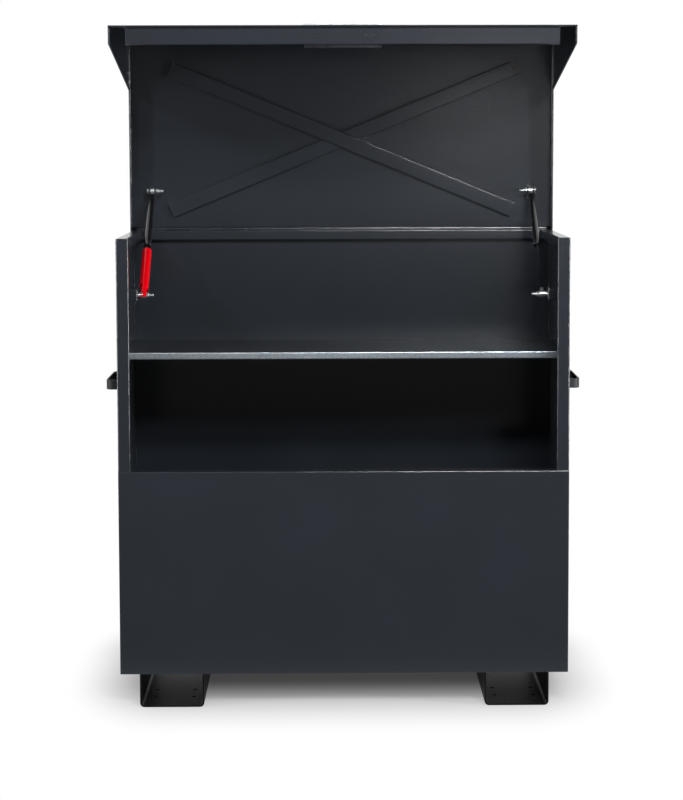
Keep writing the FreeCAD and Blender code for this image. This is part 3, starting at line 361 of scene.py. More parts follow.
def node_tree(name, **sizes):
    """A geometry tree with named inputs; gives back the tree and its input and output nodes."""
    tree = bpy.data.node_groups.new(name, "GeometryNodeTree")
    tree.interface.new_socket("Geometry", in_out="INPUT", socket_type="NodeSocketGeometry")
    tree.interface.new_socket("Geometry", in_out="OUTPUT", socket_type="NodeSocketGeometry")
    for label, kind in sizes.items():
        tree.interface.new_socket(label, in_out="INPUT", socket_type="NodeSocket" + kind)
    return tree, add(tree, "NodeGroupInput"), add(tree, "NodeGroupOutput")


def end_tree(tree, given, result, shape):
    """The shape made real, given its finish and put out."""
    real = add(tree, "GeometryNodeRealizeInstances", {"Geometry": shape})
    coated = add(tree, "GeometryNodeSetMaterial", {"Geometry": real.outputs["Geometry"],
                                                   "Material": given.outputs["Finish"]})
    tree.links.new(coated.outputs["Geometry"], result.inputs["Geometry"])


# A weld bead: drops of weld along a line, each a little larger or smaller than the last. Their radius is
# the bead's width, and the scale of about a half makes them as wide as the bead.
bead_tree, given, result = node_tree("weld_bead", Ripple="Float", Width="Float", Seed="Int",
                                     Finish="Material")
line = add(bead_tree, "GeometryNodeMeshToCurve", {"Mesh": given.outputs["Geometry"]})
spaced = add(bead_tree, "GeometryNodeResampleCurve", {
    "Curve": line.outputs["Curve"], "Length": given.outputs["Ripple"]}, mode="LENGTH")
drop = add(bead_tree, "GeometryNodeMeshUVSphere", {
    "Segments": 8, "Rings": 4, "Radius": given.outputs["Width"]})
swell = add(bead_tree, "FunctionNodeRandomValue", {
    "Min": (0.42, 0.42, 0.42), "Max": (0.54, 0.54, 0.54), "Seed": given.outputs["Seed"]},
    data_type="FLOAT_VECTOR")
drops = add(bead_tree, "GeometryNodeInstanceOnPoints", {
    "Points": spaced.outputs["Curve"], "Instance": drop.outputs["Mesh"], "Scale": swell.outputs["Value"]})
end_tree(bead_tree, given, result, drops.outputs["Instances"])


def weld(points, width, ripple=1.5, seed=1, finish=charcoal):
    """A bead along a line of points in mm, with a drop at each ripple."""
    path = bpy.data.meshes.new("path")
    steps = [(i, i + 1) for i in range(len(points) - 1)]
    path.from_pydata([Vector(point) * MM for point in points], steps, [])
    return grown(bead_tree, path, Ripple=ripple * MM, Width=width * MM, Seed=seed, Finish=finish)


# Seams lie a touch under the faces that they join: across each upright's foot and round its inner corner,
# up the front and back corners outside and inside, and as stitches along the skids.
SKID_STITCH, STITCH_STEP = 38, 105
stile = HALF_WIDTH - STILE
seams = []
for sign in (-1, 1):
    for first, last, width, ripple, seed in (
            ((HALF_WIDTH - 1.4, FRONT + 0.4, SILL_LEVEL + 0.2), (stile + 1.5, FRONT + 0.4, SILL_LEVEL + 0.2),
             1.3, 1.5, 3),
            ((stile + 1, FRONT + 0.8, SILL_LEVEL + 0.4), (stile + 0.6, FRONT + 15, SILL_LEVEL + 0.4),
             2.6, 1.5, 5),
            ((HALF_WIDTH - 2, FRONT + 0.3, SILL_LEVEL - 2), (HALF_WIDTH - 2, FRONT + 0.3, FLOOR_LEVEL + 2),
             0.9, 2.6, 7),
            ((HALF_WIDTH - 1.8, HALF_DEPTH - 0.4, RIM_LEVEL - 66),
             (HALF_WIDTH - 1.8, HALF_DEPTH - 0.4, FLOOR_LEVEL + 2), 1.1, 2.6, 9),
            ((HALF_WIDTH - 2.4, FRONT + 2.4, SILL_LEVEL - 2),
             (HALF_WIDTH - 2.4, FRONT + 2.4, FLOOR_LEVEL + 3), 3.0, 3.0, 11),
            ((HALF_WIDTH - 2.4, HALF_DEPTH - 2.6, RIM_LEVEL - 28),
             (HALF_WIDTH - 2.4, HALF_DEPTH - 2.6, FLOOR_LEVEL + 3), 3.0, 3.0, 13)):
        ends = [(sign * x, y, z) for x, y, z in (first, last)]
        seams.append(weld(ends, width, ripple, seed + sign))
    for start in range(-255, 240, STITCH_STEP):
        for edge in (SKID_NEAR - 0.5, SKID_FAR + 0.5):
            ends = [(sign * edge, y, FLOOR_LEVEL - 0.6) for y in (start, start + SKID_STITCH)]
            seams.append(weld(ends, 3.6, 2.0, start + 300))
finished("body_seams", gathered(seams), charcoal, "box", crease=60)


# ---------------------------------------------------------------- shelf and its angles
# A shelf of 1.5 mm galvanised sheet with a folded front edge. It lies on three angles of 2 mm sheet that
# are welded to the walls and coated with them.

def galvanised(name, dark, light, top_shade_colour, crystal, rough):
    """Hot-dip zinc: flat crystals that each shine at their own strength, with painted shade where they face
    up.
    """
    made, tree, shader, place = new_material(name)
    warp = add(tree, "ShaderNodeTexNoise", {"Vector": place, "Scale": per_mm(5), "Detail": 2.0})
    shift = add(tree, "ShaderNodeVectorMath", {0: warp.outputs["Color"], 1: (0.003, 0.003, 0.003)},
                operation="MULTIPLY")
    moved = add(tree, "ShaderNodeVectorMath", {0: place, 1: shift.outputs["Vector"]}, operation="ADD")
    cells = add(tree, "ShaderNodeTexVoronoi", {"Vector": moved.outputs["Vector"], "Scale": per_mm(crystal)})
    tone = add(tree, "ShaderNodeSeparateColor", {"Color": cells.outputs["Color"]})
    colour = ramp(tree, tone.outputs["Red"], dark, light)
    facing = add(tree, "ShaderNodeNewGeometry")
    upward = add(tree, "ShaderNodeSeparateXYZ", {"Vector": facing.outputs["Normal"]})
    # Painted shade: faces that look up are darkened towards a near-black grey, whatever the lamps do.
    top_shade_mask = add(tree, "ShaderNodeMapRange", {"Value": upward.outputs["Z"], "From Min": 0.6, "From Max": 0.95,
                                             "To Max": 0.92})
    shaded_top = add(tree, "ShaderNodeMix", {"Factor": top_shade_mask.outputs["Result"], "A": colour, "B": linear(top_shade_colour)},
                 data_type="RGBA")
    tree.links.new(shaded_top.outputs["Result"], shader.inputs["Base Color"])
    roughen(tree, shader, tone.outputs["Green"], rough - 0.03, rough + 0.04)
    shader.inputs["Metallic"].default_value = 0.85
    return made


# Hot-dip galvanised steel: blue-grey zinc with fine spangles about 4 mm across, brighter and duller by turns,
# and painted near-black as shade on the faces that look up, such as the shelf's top.
zinc_sheet = galvanised("galvanised_spangle", "#aebac4", "#c8d2da", "#2e3338", 4.0, 0.32)
sheet_piece("shelf", zinc_sheet, "box", 2.5, 1.0, 1.8, 0.35)
for side in ("left", "right", "rear"):
    sheet_piece("shelf_angle_" + side, charcoal, "box")


# ---------------------------------------------------------------- grab handles
# One on each side, to lift and to steady the box by: flat bar 26 by 6 mm bent to a U, welded to the side
# sheet by its two ends and coated black.

# Polyester powder in satin black with a broad weak shine; its grey, lighter than the skids', is painted
# light.
handle_powder = powder_coat("black_powder_satin", "#25262a", "#2a2b2f", 0.5, 3.0, 0.04, 0.25)

HANDLE_LOW, HANDLE_HIGH, HANDLE_FRONT, HANDLE_REAR, HANDLE_BAR = 842, 868, -142.5, 92.5, 6
for side, sign in SIDES:
    sheet_piece("grab_handle_" + side, handle_powder, "box", 1.2, 1.2, 1.0)
    ends = []
    foot = sign * (HALF_WIDTH + 0.6)
    for edge, bar in ((HANDLE_FRONT, HANDLE_BAR), (HANDLE_REAR, -HANDLE_BAR)):
        corners = [(edge, HANDLE_LOW), (edge, HANDLE_HIGH), (edge + bar, HANDLE_HIGH),
                   (edge + bar, HANDLE_LOW), (edge, HANDLE_LOW)]
        ends.append(weld([(foot, *corner) for corner in corners], 4.2, 1.8, 21, handle_powder))
    finished(f"grab_handle_{side}_welds", gathered(ends), handle_powder, "box", crease=60)


# ---------------------------------------------------------------- body brackets
# Closed brackets folded from 3 mm plate and coated with the body. Each is welded to its side sheet below
# the rim and carries a strut's lower pivot.

FOOT_Y, FOOT_Z, BRACKET_HALF_DEEP, BRACKET_HALF_HIGH = -115, 1096, 20, 16
for side, sign in SIDES:
    sheet_piece("strut_bracket_" + side, charcoal, "box", 3.0, 1.0, 3.6, 0.6)
    root = sign * (HALF_WIDTH - 2.4)
    runs = [weld([(root, FOOT_Y - BRACKET_HALF_DEEP, level), (root, FOOT_Y + BRACKET_HALF_DEEP, level)],
                 3.4, 1.8, 31) for level in (FOOT_Z + BRACKET_HALF_HIGH, FOOT_Z - BRACKET_HALF_HIGH)]
    finished(f"strut_bracket_{side}_welds", gathered(runs), charcoal, "box", crease=60)


# ---------------------------------------------------------------- continuous hinge
# Two leaves of 2 mm steel, rolled round a 5 mm pin in knuckles that take turns along it. One is welded to
# the back panel and the other to the outside of the lid, and both are coated with them.

# A row of equal pieces: the given piece repeated at equal steps.
row_tree, given, result = node_tree("row", Count="Int", Step="Vector", Finish="Material")
line = add(row_tree, "GeometryNodeMeshLine", {
    "Count": given.outputs["Count"], "Offset": given.outputs["Step"]})
copies = add(row_tree, "GeometryNodeInstanceOnPoints", {
    "Points": line.outputs["Mesh"], "Instance": given.outputs["Geometry"]})
end_tree(row_tree, given, result, copies.outputs["Instances"])

HINGE_Y, HINGE_Z, HINGE_HALF, KNUCKLES, KNUCKLE_GAP = 280, 1259, 590, 15, 0.4
KNUCKLE, PIN_BORE, LEAF, LEAF_START = 5, 2.6, 2, 5.5
LEAN = math.radians(1)


def on_body_hinge(run, off, along):
    """A point of the fixed leaf: run down from the pin's axis, off behind it."""
    return (along, HINGE_Y + off, HINGE_Z - run)


def on_lid(across, u, v):
    """A point of the lid: u up from the hinge's axis along the top panel, v forward of it."""
    return (across, HINGE_Y - u * math.sin(LEAN) - v * math.cos(LEAN),
            HINGE_Z + u * math.cos(LEAN) - v * math.sin(LEAN))


def on_lid_hinge(run, off, along):
    """A point of the moving leaf: run up along the lid, off on its inside."""
    return on_lid(along, run, off)


def knuckle_section():
    """The rolled end of a leaf: from its flat part round the pin and back to it."""
    closed = math.radians(301.3)
    steps = 20
    turns = [math.pi - closed * i / steps for i in range(steps + 1)]
    outer = [(-KNUCKLE * math.sin(turn), KNUCKLE * math.cos(turn)) for turn in turns]
    inner = [(-PIN_BORE * math.sin(turn), PIN_BORE * math.cos(turn)) for turn in reversed(turns)]
    flat = LEAF_START + 1
    return [(flat, -KNUCKLE)] + outer + inner + [(1.2, LEAF - KNUCKLE), (flat, LEAF - KNUCKLE)]


pitch = 2 * HINGE_HALF / KNUCKLES
for node, body, place, first, count, depth in (("hinge_leaf_fixed", "box", on_body_hinge, 0, 8, 34),
                                               ("hinge_leaf_moving", "lid", on_lid_hinge, 1, 7, 26)):
    start = -HINGE_HALF + first * pitch + KNUCKLE_GAP / 2
    knuckle = drawn(knuckle_section(), place, (start, start + pitch - KNUCKLE_GAP), 0.25)
    row = grown(row_tree, knuckle, Count=count, Step=(2 * pitch * MM, 0, 0), Finish=charcoal)
    plate = drawn(rounded([(LEAF_START, -KNUCKLE, 0.3), (depth, -KNUCKLE, 0.6), (depth, LEAF - KNUCKLE, 0.3),
                           (LEAF_START, LEAF - KNUCKLE, 0.3)], 3), place, (-HINGE_HALF, HINGE_HALF), 0.3)
    finished(node + "_rolled", gathered([row, plate]), charcoal, body, [node])


def turned(profile, place, sides=24):
    """A turned piece from its half section (radius, along); place(across, up, along) gives each point."""
    bm = bmesh.new()
    rings = []
    for radius, along in profile:
        turns = [2 * math.pi * i / sides for i in range(sides if radius else 1)]
        around = [place(radius * math.cos(turn), radius * math.sin(turn), along) for turn in turns]
        rings.append([bm.verts.new(Vector(point) * MM) for point in around])
    closed = profile[0][0] != 0
    for lower, upper in zip(rings, rings[1:] + rings[:1] if closed else rings[1:]):
        for i in range(sides):
            corners = [lower[i % len(lower)], lower[(i + 1) % len(lower)],
                       upper[(i + 1) % len(upper)], upper[i % len(upper)]]
            bm.faces.new(list(dict.fromkeys(corners)))
    bmesh.ops.recalc_face_normals(bm, faces=bm.faces)
    return as_mesh(bm)


def plated(name, dark, light, rough):
    """Bare or thinly plated metal, with a soft uneven shine."""
    made, tree, shader, place = new_material(name)
    haze = add(tree, "ShaderNodeTexNoise", {"Vector": place, "Scale": per_mm(7), "Detail": 4.0})
    colour = ramp(tree, haze.outputs["Fac"], dark, light, 0.3, 0.7)
    tree.links.new(colour, shader.inputs["Base Color"])
    roughen(tree, shader, haze.outputs["Fac"], rough - 0.06, rough + 0.1)
    shader.inputs["Metallic"].default_value = 1.0
    return made


# Bright zinc plate: a pale silver that mirrors lamps softly, clouded every 7 mm or so.
bright_zinc = plated("bright_zinc_plate", "#b6babd", "#d8dbdc", 0.36)

PIN, PIN_END, PIN_TAPER = 2.5, 1.9, 0.8
pin = turned([(0, -HINGE_HALF), (PIN_END, -HINGE_HALF), (PIN, PIN_TAPER - HINGE_HALF),
              (PIN, HINGE_HALF - PIN_TAPER), (PIN_END, HINGE_HALF), (0, HINGE_HALF)],
             lambda across, up, along: (along, HINGE_Y + across, HINGE_Z + up))
finished("hinge_pin_wire", pin, bright_zinc, "box", ["hinge_pin"])


# ---------------------------------------------------------------- lid
# Top panel with hemmed side flanges, front panel with a hemmed edge and a lip behind it, and two
# tapering cheeks between them: 2 mm sheet in the same charcoal powder.

for node in ("lid_top_panel", "lid_front_panel", "lid_cheek_left", "lid_cheek_right"):
    sheet_piece(node, charcoal, "lid")


# ---------------------------------------------------------------- cross brace
# Three strips of 1.5 mm sheet folded to a shallow channel and welded across the inside of the lid, one
# whole and two butted to it.

BRACE_END, BRACE_LOW, BRACE_HIGH, BRACE_HALF, PANEL_INSIDE = 490, 53, 457, 21, -1
STITCHES, STITCH = (0.985, 0.80, 0.45, 0.13), 14
for node in ("lid_brace_long", "lid_brace_short_left", "lid_brace_short_right"):
    sheet_piece(node, charcoal, "lid", 2.5, 1.0, 1.8, 0.4)
rise = (BRACE_HIGH - BRACE_LOW) / 2
reach = math.hypot(BRACE_END, rise)
drops = []
for turn in (1, -1):
    along = Vector((BRACE_END, -turn * rise)) / reach
    aside = Vector((-along.y, along.x))
    for far in (-1, 1):
        for at in STITCHES:
            for edge in (-BRACE_HALF - 0.6, BRACE_HALF + 0.6):
                middle = Vector((0, BRACE_LOW + rise)) + along * far * at * reach + aside * edge
                ends = [middle - along * STITCH / 2, middle + along * STITCH / 2]
                drops.append(weld([on_lid(end.x, end.y, PANEL_INSIDE + 0.2) for end in ends], 3.4, 2.0,
                                  int(100 * at) + far + turn))
finished("lid_brace_welds", gathered(drops), charcoal, "lid", crease=60)


# ---------------------------------------------------------------- lid brackets
# A fork of 3 mm plate for each strut, folded, coated with the lid and welded to the inside of its top
# panel by its foot. The strut's upper eye sits between its cheeks.

STRUT_X, HEAD_U, HEAD_V, FORK_FOOT_HALF, FORK_HALF = 541, 110, 32, 22, 10
for side, sign in SIDES:
    sheet_piece("strut_fork_" + side, charcoal, "lid", 3.0, 1.0, 3.6, 0.6)
    runs = [weld([on_lid(sign * STRUT_X - FORK_HALF, u, 0), on_lid(sign * STRUT_X + FORK_HALF, u, 0)],
                 3.2, 1.8, 41) for u in (HEAD_U - FORK_FOOT_HALF, HEAD_U + FORK_FOOT_HALF)]
    finished(f"strut_fork_{side}_welds", gathered(runs), charcoal, "lid", crease=60)


# ---------------------------------------------------------------- pivot bolts
# M8 hexagon bolts with washers, spacers and self-locking nuts, bright zinc plated. The upper bolt is in
# two parts, head and thread, because the strut's eye lifts out of it in mid travel.

# A screw thread: a three-sided ridge wound round the shank.
thread_tree, given, result = node_tree("screw_thread", Turns="Float", Core="Float", Length="Float",
                                       Ridge="Float", Finish="Material")
winding = add(thread_tree, "GeometryNodeCurveSpiral", {
    "Resolution": 18, "Rotations": given.outputs["Turns"], "Start Radius": given.outputs["Core"],
    "End Radius": given.outputs["Core"], "Height": given.outputs["Length"]})
section = add(thread_tree, "GeometryNodeCurvePrimitiveCircle", {
    "Resolution": 3, "Radius": given.outputs["Ridge"]})
wound = add(thread_tree, "GeometryNodeCurveToMesh", {
    "Curve": winding.outputs["Curve"], "Profile Curve": section.outputs["Curve"], "Fill Caps": True})
end_tree(thread_tree, given, result, wound.outputs["Mesh"])

BOLT, BOLT_BORE, FLATS = 4, 4.1, 13
HEAD_Y, HEAD_Z = on_lid(0, HEAD_U, HEAD_V)[1:]
THREAD_PITCH, THREAD_CORE, THREAD_RIDGE, THREAD_RUN_OUT = 1.25, 3.42, 0.56, 1.6


def on_foot_pivot(sign):
    """A placing function for pieces on a lower pivot, a corner of each hexagon up."""
    return lambda across, up, along: (sign * along, FOOT_Y - up, FOOT_Z + across)


def on_head_pivot(sign):
    """A placing function for pieces on an upper pivot, a flat of each hexagon up."""
    return lambda across, up, along: (sign * along, HEAD_Y + across, HEAD_Z + up)


def hexagon(place, low, high, bore=0.0, collar=0.0):
    """A hexagon with its corners chamfered, and a round collar towards low where it is a locking nut."""
    corner = FLATS / 2 / math.cos(math.pi / 6)
    foot, chamfer, land = low + collar, 0.9, FLATS / 2 * 0.93
    six = drawn([(corner * math.cos(i * math.pi / 3), corner * math.sin(i * math.pi / 3)) for i in range(6)],
                place, (foot, high))
    limit = turned([(0, foot), (land, foot), (corner, foot + chamfer), (corner, high - chamfer), (land, high),
                    (0, high)], place, 36)
    shape = combined("INTERSECT", six, limit)
    if collar:
        dome = turned([(0, low), (4.9, low), (5.6, low + 0.7), (5.8, foot + 0.5), (0, foot + 0.5)], place)
        shape = combined("UNION", shape, dome)
    return combined("DIFFERENCE", shape, barrel(place, bore, (low - 1, high + 1))) if bore else shape


def shank(place, low, high, threaded):
    """A bolt's shank with its end chamfered and a thread over its first part."""
    core = turned([(0, low), (2.7, low), (3.3, low + 0.6), (3.3, low + threaded),
                   (BOLT, low + threaded + 0.7), (BOLT, high), (0, high)], place)
    length = threaded - THREAD_RUN_OUT
    ridge = grown(thread_tree, bpy.data.meshes.new("start"), Turns=length / THREAD_PITCH,
                  Core=THREAD_CORE * MM, Length=length * MM, Ridge=THREAD_RIDGE * MM, Finish=bright_zinc)
    for vertex in ridge.vertices:
        vertex.co = Vector(place(*(vertex.co / MM)[:2], vertex.co.z / MM + low + 0.9)) * MM
    ridge.flip_normals()
    return gathered([core, ridge])


def ring(place, radius, low, high, edge=0.3):
    """A washer or spacer with its edges broken."""
    return turned([(BOLT_BORE, low), (radius - edge, low), (radius, low + edge), (radius, high - edge),
                   (radius - edge, high), (BOLT_BORE, high)], place, 32)


SPACER, SPACER_LOW, WASHER, WASHER_THICK, NUT, NUT_COLLAR, BOLT_HEAD = 7, 547.8, 8, 1.6, 8, 2.2, 5.3
FOOT_END, FOOT_NUT, FOOT_BRACKET, FOOT_THREAD = 512.6, 524.6, 558, 24
HEAD_END, HEAD_NUT, HEAD_FORK, HEAD_THREAD, HEAD_PART, CHEEK = 509.4, 521.4, 551, 22, 534, 3
piles = {name: [] for name in ("lower_bolts", "lower_spacers", "lower_washers", "lower_lock_nuts",
                               "upper_bolt_heads", "upper_bolt_threads", "upper_lock_nuts")}
for sign in (-1, 1):
    foot, washer = on_foot_pivot(sign), FOOT_NUT + NUT
    piles["lower_bolts"] += [shank(foot, FOOT_END, FOOT_BRACKET, FOOT_THREAD),
                             hexagon(foot, FOOT_BRACKET, FOOT_BRACKET + BOLT_HEAD)]
    piles["lower_spacers"].append(ring(foot, SPACER, SPACER_LOW, FOOT_BRACKET - CHEEK))
    piles["lower_washers"].append(ring(foot, WASHER, washer, washer + WASHER_THICK))
    piles["lower_lock_nuts"].append(hexagon(foot, FOOT_NUT, washer, BOLT_BORE, NUT_COLLAR))
    head, washer = on_head_pivot(sign), HEAD_NUT + NUT
    low, high = HEAD_FORK - CHEEK, HEAD_FORK + 0.2
    piles["upper_bolt_heads"] += [turned([(0, low), (BOLT, low), (BOLT, high), (0, high)], head),
                                  hexagon(head, HEAD_FORK, HEAD_FORK + BOLT_HEAD)]
    piles["upper_bolt_threads"].append(shank(head, HEAD_END, HEAD_PART, HEAD_THREAD))
    piles["upper_lock_nuts"] += [ring(head, WASHER, washer, washer + WASHER_THICK),
                                 hexagon(head, HEAD_NUT, washer, BOLT_BORE, NUT_COLLAR)]
for node, pieces in piles.items():
    finished(node + "_turned", gathered(pieces), bright_zinc, "lid" if node.startswith("upper") else "box",
             [node])


# ---------------------------------------------------------------- gas struts
# A gloss black pressure tube of steel, rolled in at both ends, slides over a dark nitrided rod with a
# piston. The zinc plated end eyes turn on the pivot bolts.

def enamel(name, colour, rough, specular):
    """Smooth sprayed enamel with a slight waviness."""
    made, tree, shader, place = new_material(name)
    wave = add(tree, "ShaderNodeTexNoise", {"Vector": place, "Scale": per_mm(12), "Detail": 2.0})
    emboss(tree, shader, wave.outputs["Fac"], 0.2, 0.2)
    roughen(tree, shader, wave.outputs["Fac"], rough - 0.04, rough + 0.04)
    shader.inputs["Base Color"].default_value = linear(colour)
    shader.inputs["Specular IOR Level"].default_value = specular
    return made


# Stoved enamel: deep black with clear highlights along the tube.
gloss_black = enamel("gloss_black_enamel", "#0f0f11", 0.2, 0.5)
# Nitrided steel: a hard blue-black that still mirrors like metal.
nitrided = plated("nitrided_steel", "#3b3d46", "#4a4d57", 0.18)

STRUT_LENGTH = (Vector((STRUT_X, HEAD_Y, HEAD_Z)) - Vector((STRUT_X, FOOT_Y, FOOT_Z))).length
STRUT_TILT = math.atan2(HEAD_Z - FOOT_Z, HEAD_Y - FOOT_Y)
EYE, EYE_WIDE, NECK, EYE_REACH, ROD, TUBE, TUBE_BORE = 9, 13, 5, 22, 4, 9.5, 8
TUBE_LOW, TUBE_HIGH, TUBE_CAP, ROD_BORE, PISTON = 205.7, 430.3, 8, 4.1, 221.7


def along_strut(sign):
    """A placing function for pieces on a strut: along runs from the lower pivot to the upper one."""
    return lambda across, up, along: (sign * STRUT_X + across,
                                      FOOT_Y + along * math.cos(STRUT_TILT) + up * math.sin(STRUT_TILT),
                                      FOOT_Z + along * math.sin(STRUT_TILT) - up * math.cos(STRUT_TILT))


def strut_eye(sign, centre, towards):
    """A ring across the strut with a neck and a round shoulder."""
    line = along_strut(sign)
    half = EYE_WIDE / 2

    def through(across, up, along):
        return line(along, across, centre + up)

    ring = turned([(0, -half), (EYE - 0.7, -half), (EYE, 0.7 - half), (EYE, half - 0.7), (EYE - 0.7, half),
                   (0, half)], through, 32)
    low, high = sorted((centre + towards * 4, centre + towards * EYE_REACH))
    neck = turned([(0, low), (NECK, low), (NECK, high), (0, high)], line)
    bore = barrel(through, BOLT_BORE, (-half - 1, half + 1))
    return combined("DIFFERENCE", combined("UNION", ring, neck), bore)


for side, sign in SIDES:
    line = along_strut(sign)
    finished(f"strut_foot_eye_{side}_forged", strut_eye(sign, 0, 1), bright_zinc, side + "_rod",
             [f"strut_foot_eye_{side}"])
    finished(f"strut_head_eye_{side}_forged", strut_eye(sign, STRUT_LENGTH, -1), bright_zinc, side + "_tube",
             [f"strut_head_eye_{side}"])
    rod_and_piston = [
        (0, EYE_REACH), (3.5, EYE_REACH), (ROD, EYE_REACH + 0.6), (ROD, PISTON), (7.5, PISTON),
        (7.9, PISTON + 0.5), (7.9, PISTON + 4), (7.2, PISTON + 4.4), (7.2, PISTON + 5.6), (7.9, PISTON + 6),
        (7.9, PISTON + 9.5), (7.5, PISTON + 10), (0, PISTON + 10)]
    finished(f"strut_rod_{side}_ground", turned(rod_and_piston, line), nitrided, side + "_rod",
             [f"strut_rod_{side}"])
    rolled_end = [(6.6, 0), (7.6, 0.3), (8.6, 0.9), (9.3, 1.8), (TUBE, 2.8)]
    groove = [(TUBE, 7), (8.9, 7.7), (8.7, 8.5), (8.9, 9.3), (TUBE, 10)]
    tube_wall = [(ROD_BORE, TUBE_LOW)] + [(radius, TUBE_LOW + along) for radius, along in rolled_end + groove]
    tube_wall += [(radius, TUBE_HIGH - along) for radius, along in reversed(rolled_end)]
    tube_wall += [(0.02, TUBE_HIGH), (0.02, TUBE_HIGH - TUBE_CAP), (TUBE_BORE, TUBE_HIGH - TUBE_CAP),
                  (TUBE_BORE, TUBE_LOW + TUBE_CAP), (ROD_BORE, TUBE_LOW + TUBE_CAP)]
    finished(f"strut_tube_{side}_rolled", turned(tube_wall, line, 32), gloss_black, side + "_tube",
             [f"strut_tube_{side}"])


# ---------------------------------------------------------------- safety sleeve
# A slit tube of 1.7 mm sheet round the left rod, enamelled red. It props the pressure tube open: its hook
# stands on the lower pivot and its top meets the tube. A window beside the pivot lets it be pushed aside.

# Red enamel: a full signal red with sharp highlights.
gloss_red = enamel("gloss_red_enamel", "#c4000e", 0.25, 0.5)

SLEEVE, SLEEVE_BORE, SLIT_HALF, SLEEVE_LOW, SLEEVE_HIGH = 13, 11.3, 7, -18, 185.7
WINDOW_HIGH, WINDOW_EDGE, NOTCH_LOW, NOTCH_HIGH, NOTCH_END, NOTCH_ROUND = 35, -4.8, -13, -5, 3, 3.9
HOLE, HOLE_SPREAD, HOLE_DROP, BEYOND = 1.8, 4.5, 20, 30
line = along_strut(-1)
steps = 40
rings = []
for radius in (SLEEVE, SLEEVE_BORE):
    slit = math.asin(SLIT_HALF / radius)
    turns = [math.pi / 2 + slit + (2 * math.pi - 2 * slit) * i / steps for i in range(steps + 1)]
    rings.append([(radius * math.cos(turn), radius * math.sin(turn)) for turn in turns])
loop = rings[0] + rings[1][::-1]
openings = [
    drawn([(-BEYOND, -EYE - 0.3), (BEYOND, -EYE - 0.3), (BEYOND, BEYOND), (-BEYOND, BEYOND)], line,
          (SLEEVE_LOW - 1, 2 * EYE)),
    drawn(rounded([(-BEYOND, NOTCH_LOW, 0), (NOTCH_END, NOTCH_LOW, NOTCH_ROUND),
                   (NOTCH_END, NOTCH_HIGH, NOTCH_ROUND), (-BEYOND, NOTCH_HIGH, 0)]),
          lambda across, up, along: line(across, along, up), (-BEYOND, BEYOND)),
    drawn([(-20, -BEYOND), (WINDOW_EDGE, -BEYOND), (WINDOW_EDGE, BEYOND), (-20, BEYOND)], line,
          (-EYE, WINDOW_HIGH))]
for x in (-HOLE_SPREAD, HOLE_SPREAD):
    openings.append(barrel(lambda across, up, along: line(x + across, -along, SLEEVE_HIGH - HOLE_DROP + up),
                           HOLE, (5, 20), 16))
sleeve = combined("DIFFERENCE", drawn(loop, line, (SLEEVE_LOW, SLEEVE_HIGH), 0.35), *openings)
finished("safety_sleeve_rolled", sleeve, gloss_red, "left_rod", ["safety_sleeve"])


# ---------------------------------------------------------------- lock
# A folded case behind the lid's lip holds two steel deadbolts on a bar, which the key's cam moves. They
# pass through the lip and the sill into a keeper plate that is welded under the sill.

# Black zinc passivate: a dull near-black metal film on the parts behind the lip, there also painted shade.
black_zinc = plated("black_zinc_passivate", "#2a2b2e", "#3a3b3f", 0.4)
# Satin brass: a warm yellow metal with a soft brushed shine.
brass = plated("satin_brass", "#b59a57", "#c9ae68", 0.35)

KEY_V, CYLINDER, CYLINDER_LOW, PLATE_LOW, PLATE_FACE = 560, 11, 543.3, 561, 564


def on_front(across, up, along):
    """A point of the lid's front panel: up is v, along is u."""
    return on_lid(across, along, up)


def round_key(across, up, along):
    """A point about the lock cylinder's axis."""
    return on_lid(across, along, KEY_V + up)


# The lock case's dark film stands in as painted shade for the shadow under the lip.
sheet_piece("lock_case", black_zinc, "lid", 2.0, 1.0, 1.8, 0.4)
for node, finish, body in (
        ("deadbolt_left", charcoal, "deadbolts"), ("deadbolt_right", charcoal, "deadbolts"),
        ("lock_tie_bar", black_zinc, "deadbolts"), ("lock_cam", black_zinc, "key_unit")):
    sheet_piece(node, finish, body, 1.0, 0.5, 3.4, 0.4)
sheet_piece("lock_keeper", charcoal, "box", 1.0, 0.5, 3.4, 0.5)
SLOT_HALF, SLOT_HALF_LONG, SLOT_DEEP = 0.8, 5, 1.5
key_slot = drawn([(-SLOT_HALF, -SLOT_HALF_LONG), (SLOT_HALF, -SLOT_HALF_LONG), (SLOT_HALF, SLOT_HALF_LONG),
                  (-SLOT_HALF, SLOT_HALF_LONG)], round_key, (PLATE_FACE - SLOT_DEEP, PLATE_FACE + 1))
cylinder = turned([(0, CYLINDER_LOW), (CYLINDER - 0.5, CYLINDER_LOW), (CYLINDER, CYLINDER_LOW + 0.5),
                   (CYLINDER, PLATE_FACE - 0.6), (CYLINDER - 0.6, PLATE_FACE), (0, PLATE_FACE)],
                  round_key, 40)
finished("lock_cylinder_turned", combined("DIFFERENCE", cylinder, key_slot), brass, "key_unit",
         ["lock_cylinder"])


# ---------------------------------------------------------------- keyhole plate and cover
# A 3 mm zinc plated plate lies flat on the outside of the lid's front panel, along its edge. A coated
# cover swings on it on a dome headed rivet.

PLATE_HALF, PLATE_TOP, PLATE_EDGE, PLATE_CORNER = 106, 520, 627, 8
RIVET_V, RIVET, RIVET_HEAD, COVER, COVER_NECK, COVER_LOW, COVER_FACE = 533, 2.5, 5, 14, 7, 564.1, 565.6
plate = drawn(rounded([(across, up, PLATE_CORNER) for across, up in (
    (-PLATE_HALF, PLATE_TOP), (PLATE_HALF, PLATE_TOP), (PLATE_HALF, PLATE_EDGE), (-PLATE_HALF, PLATE_EDGE))]),
    on_front, (PLATE_LOW, PLATE_FACE), 0.5)
plate = combined("DIFFERENCE", plate, barrel(round_key, CYLINDER + 0.1, (PLATE_LOW - 1, PLATE_FACE + 1), 40))
finished("keyhole_plate_cut", plate, bright_zinc, "lid", ["keyhole_plate"])


def round_rivet(across, up, along):
    """A point about the rivet's axis."""
    return on_lid(across, along, RIVET_V + up)


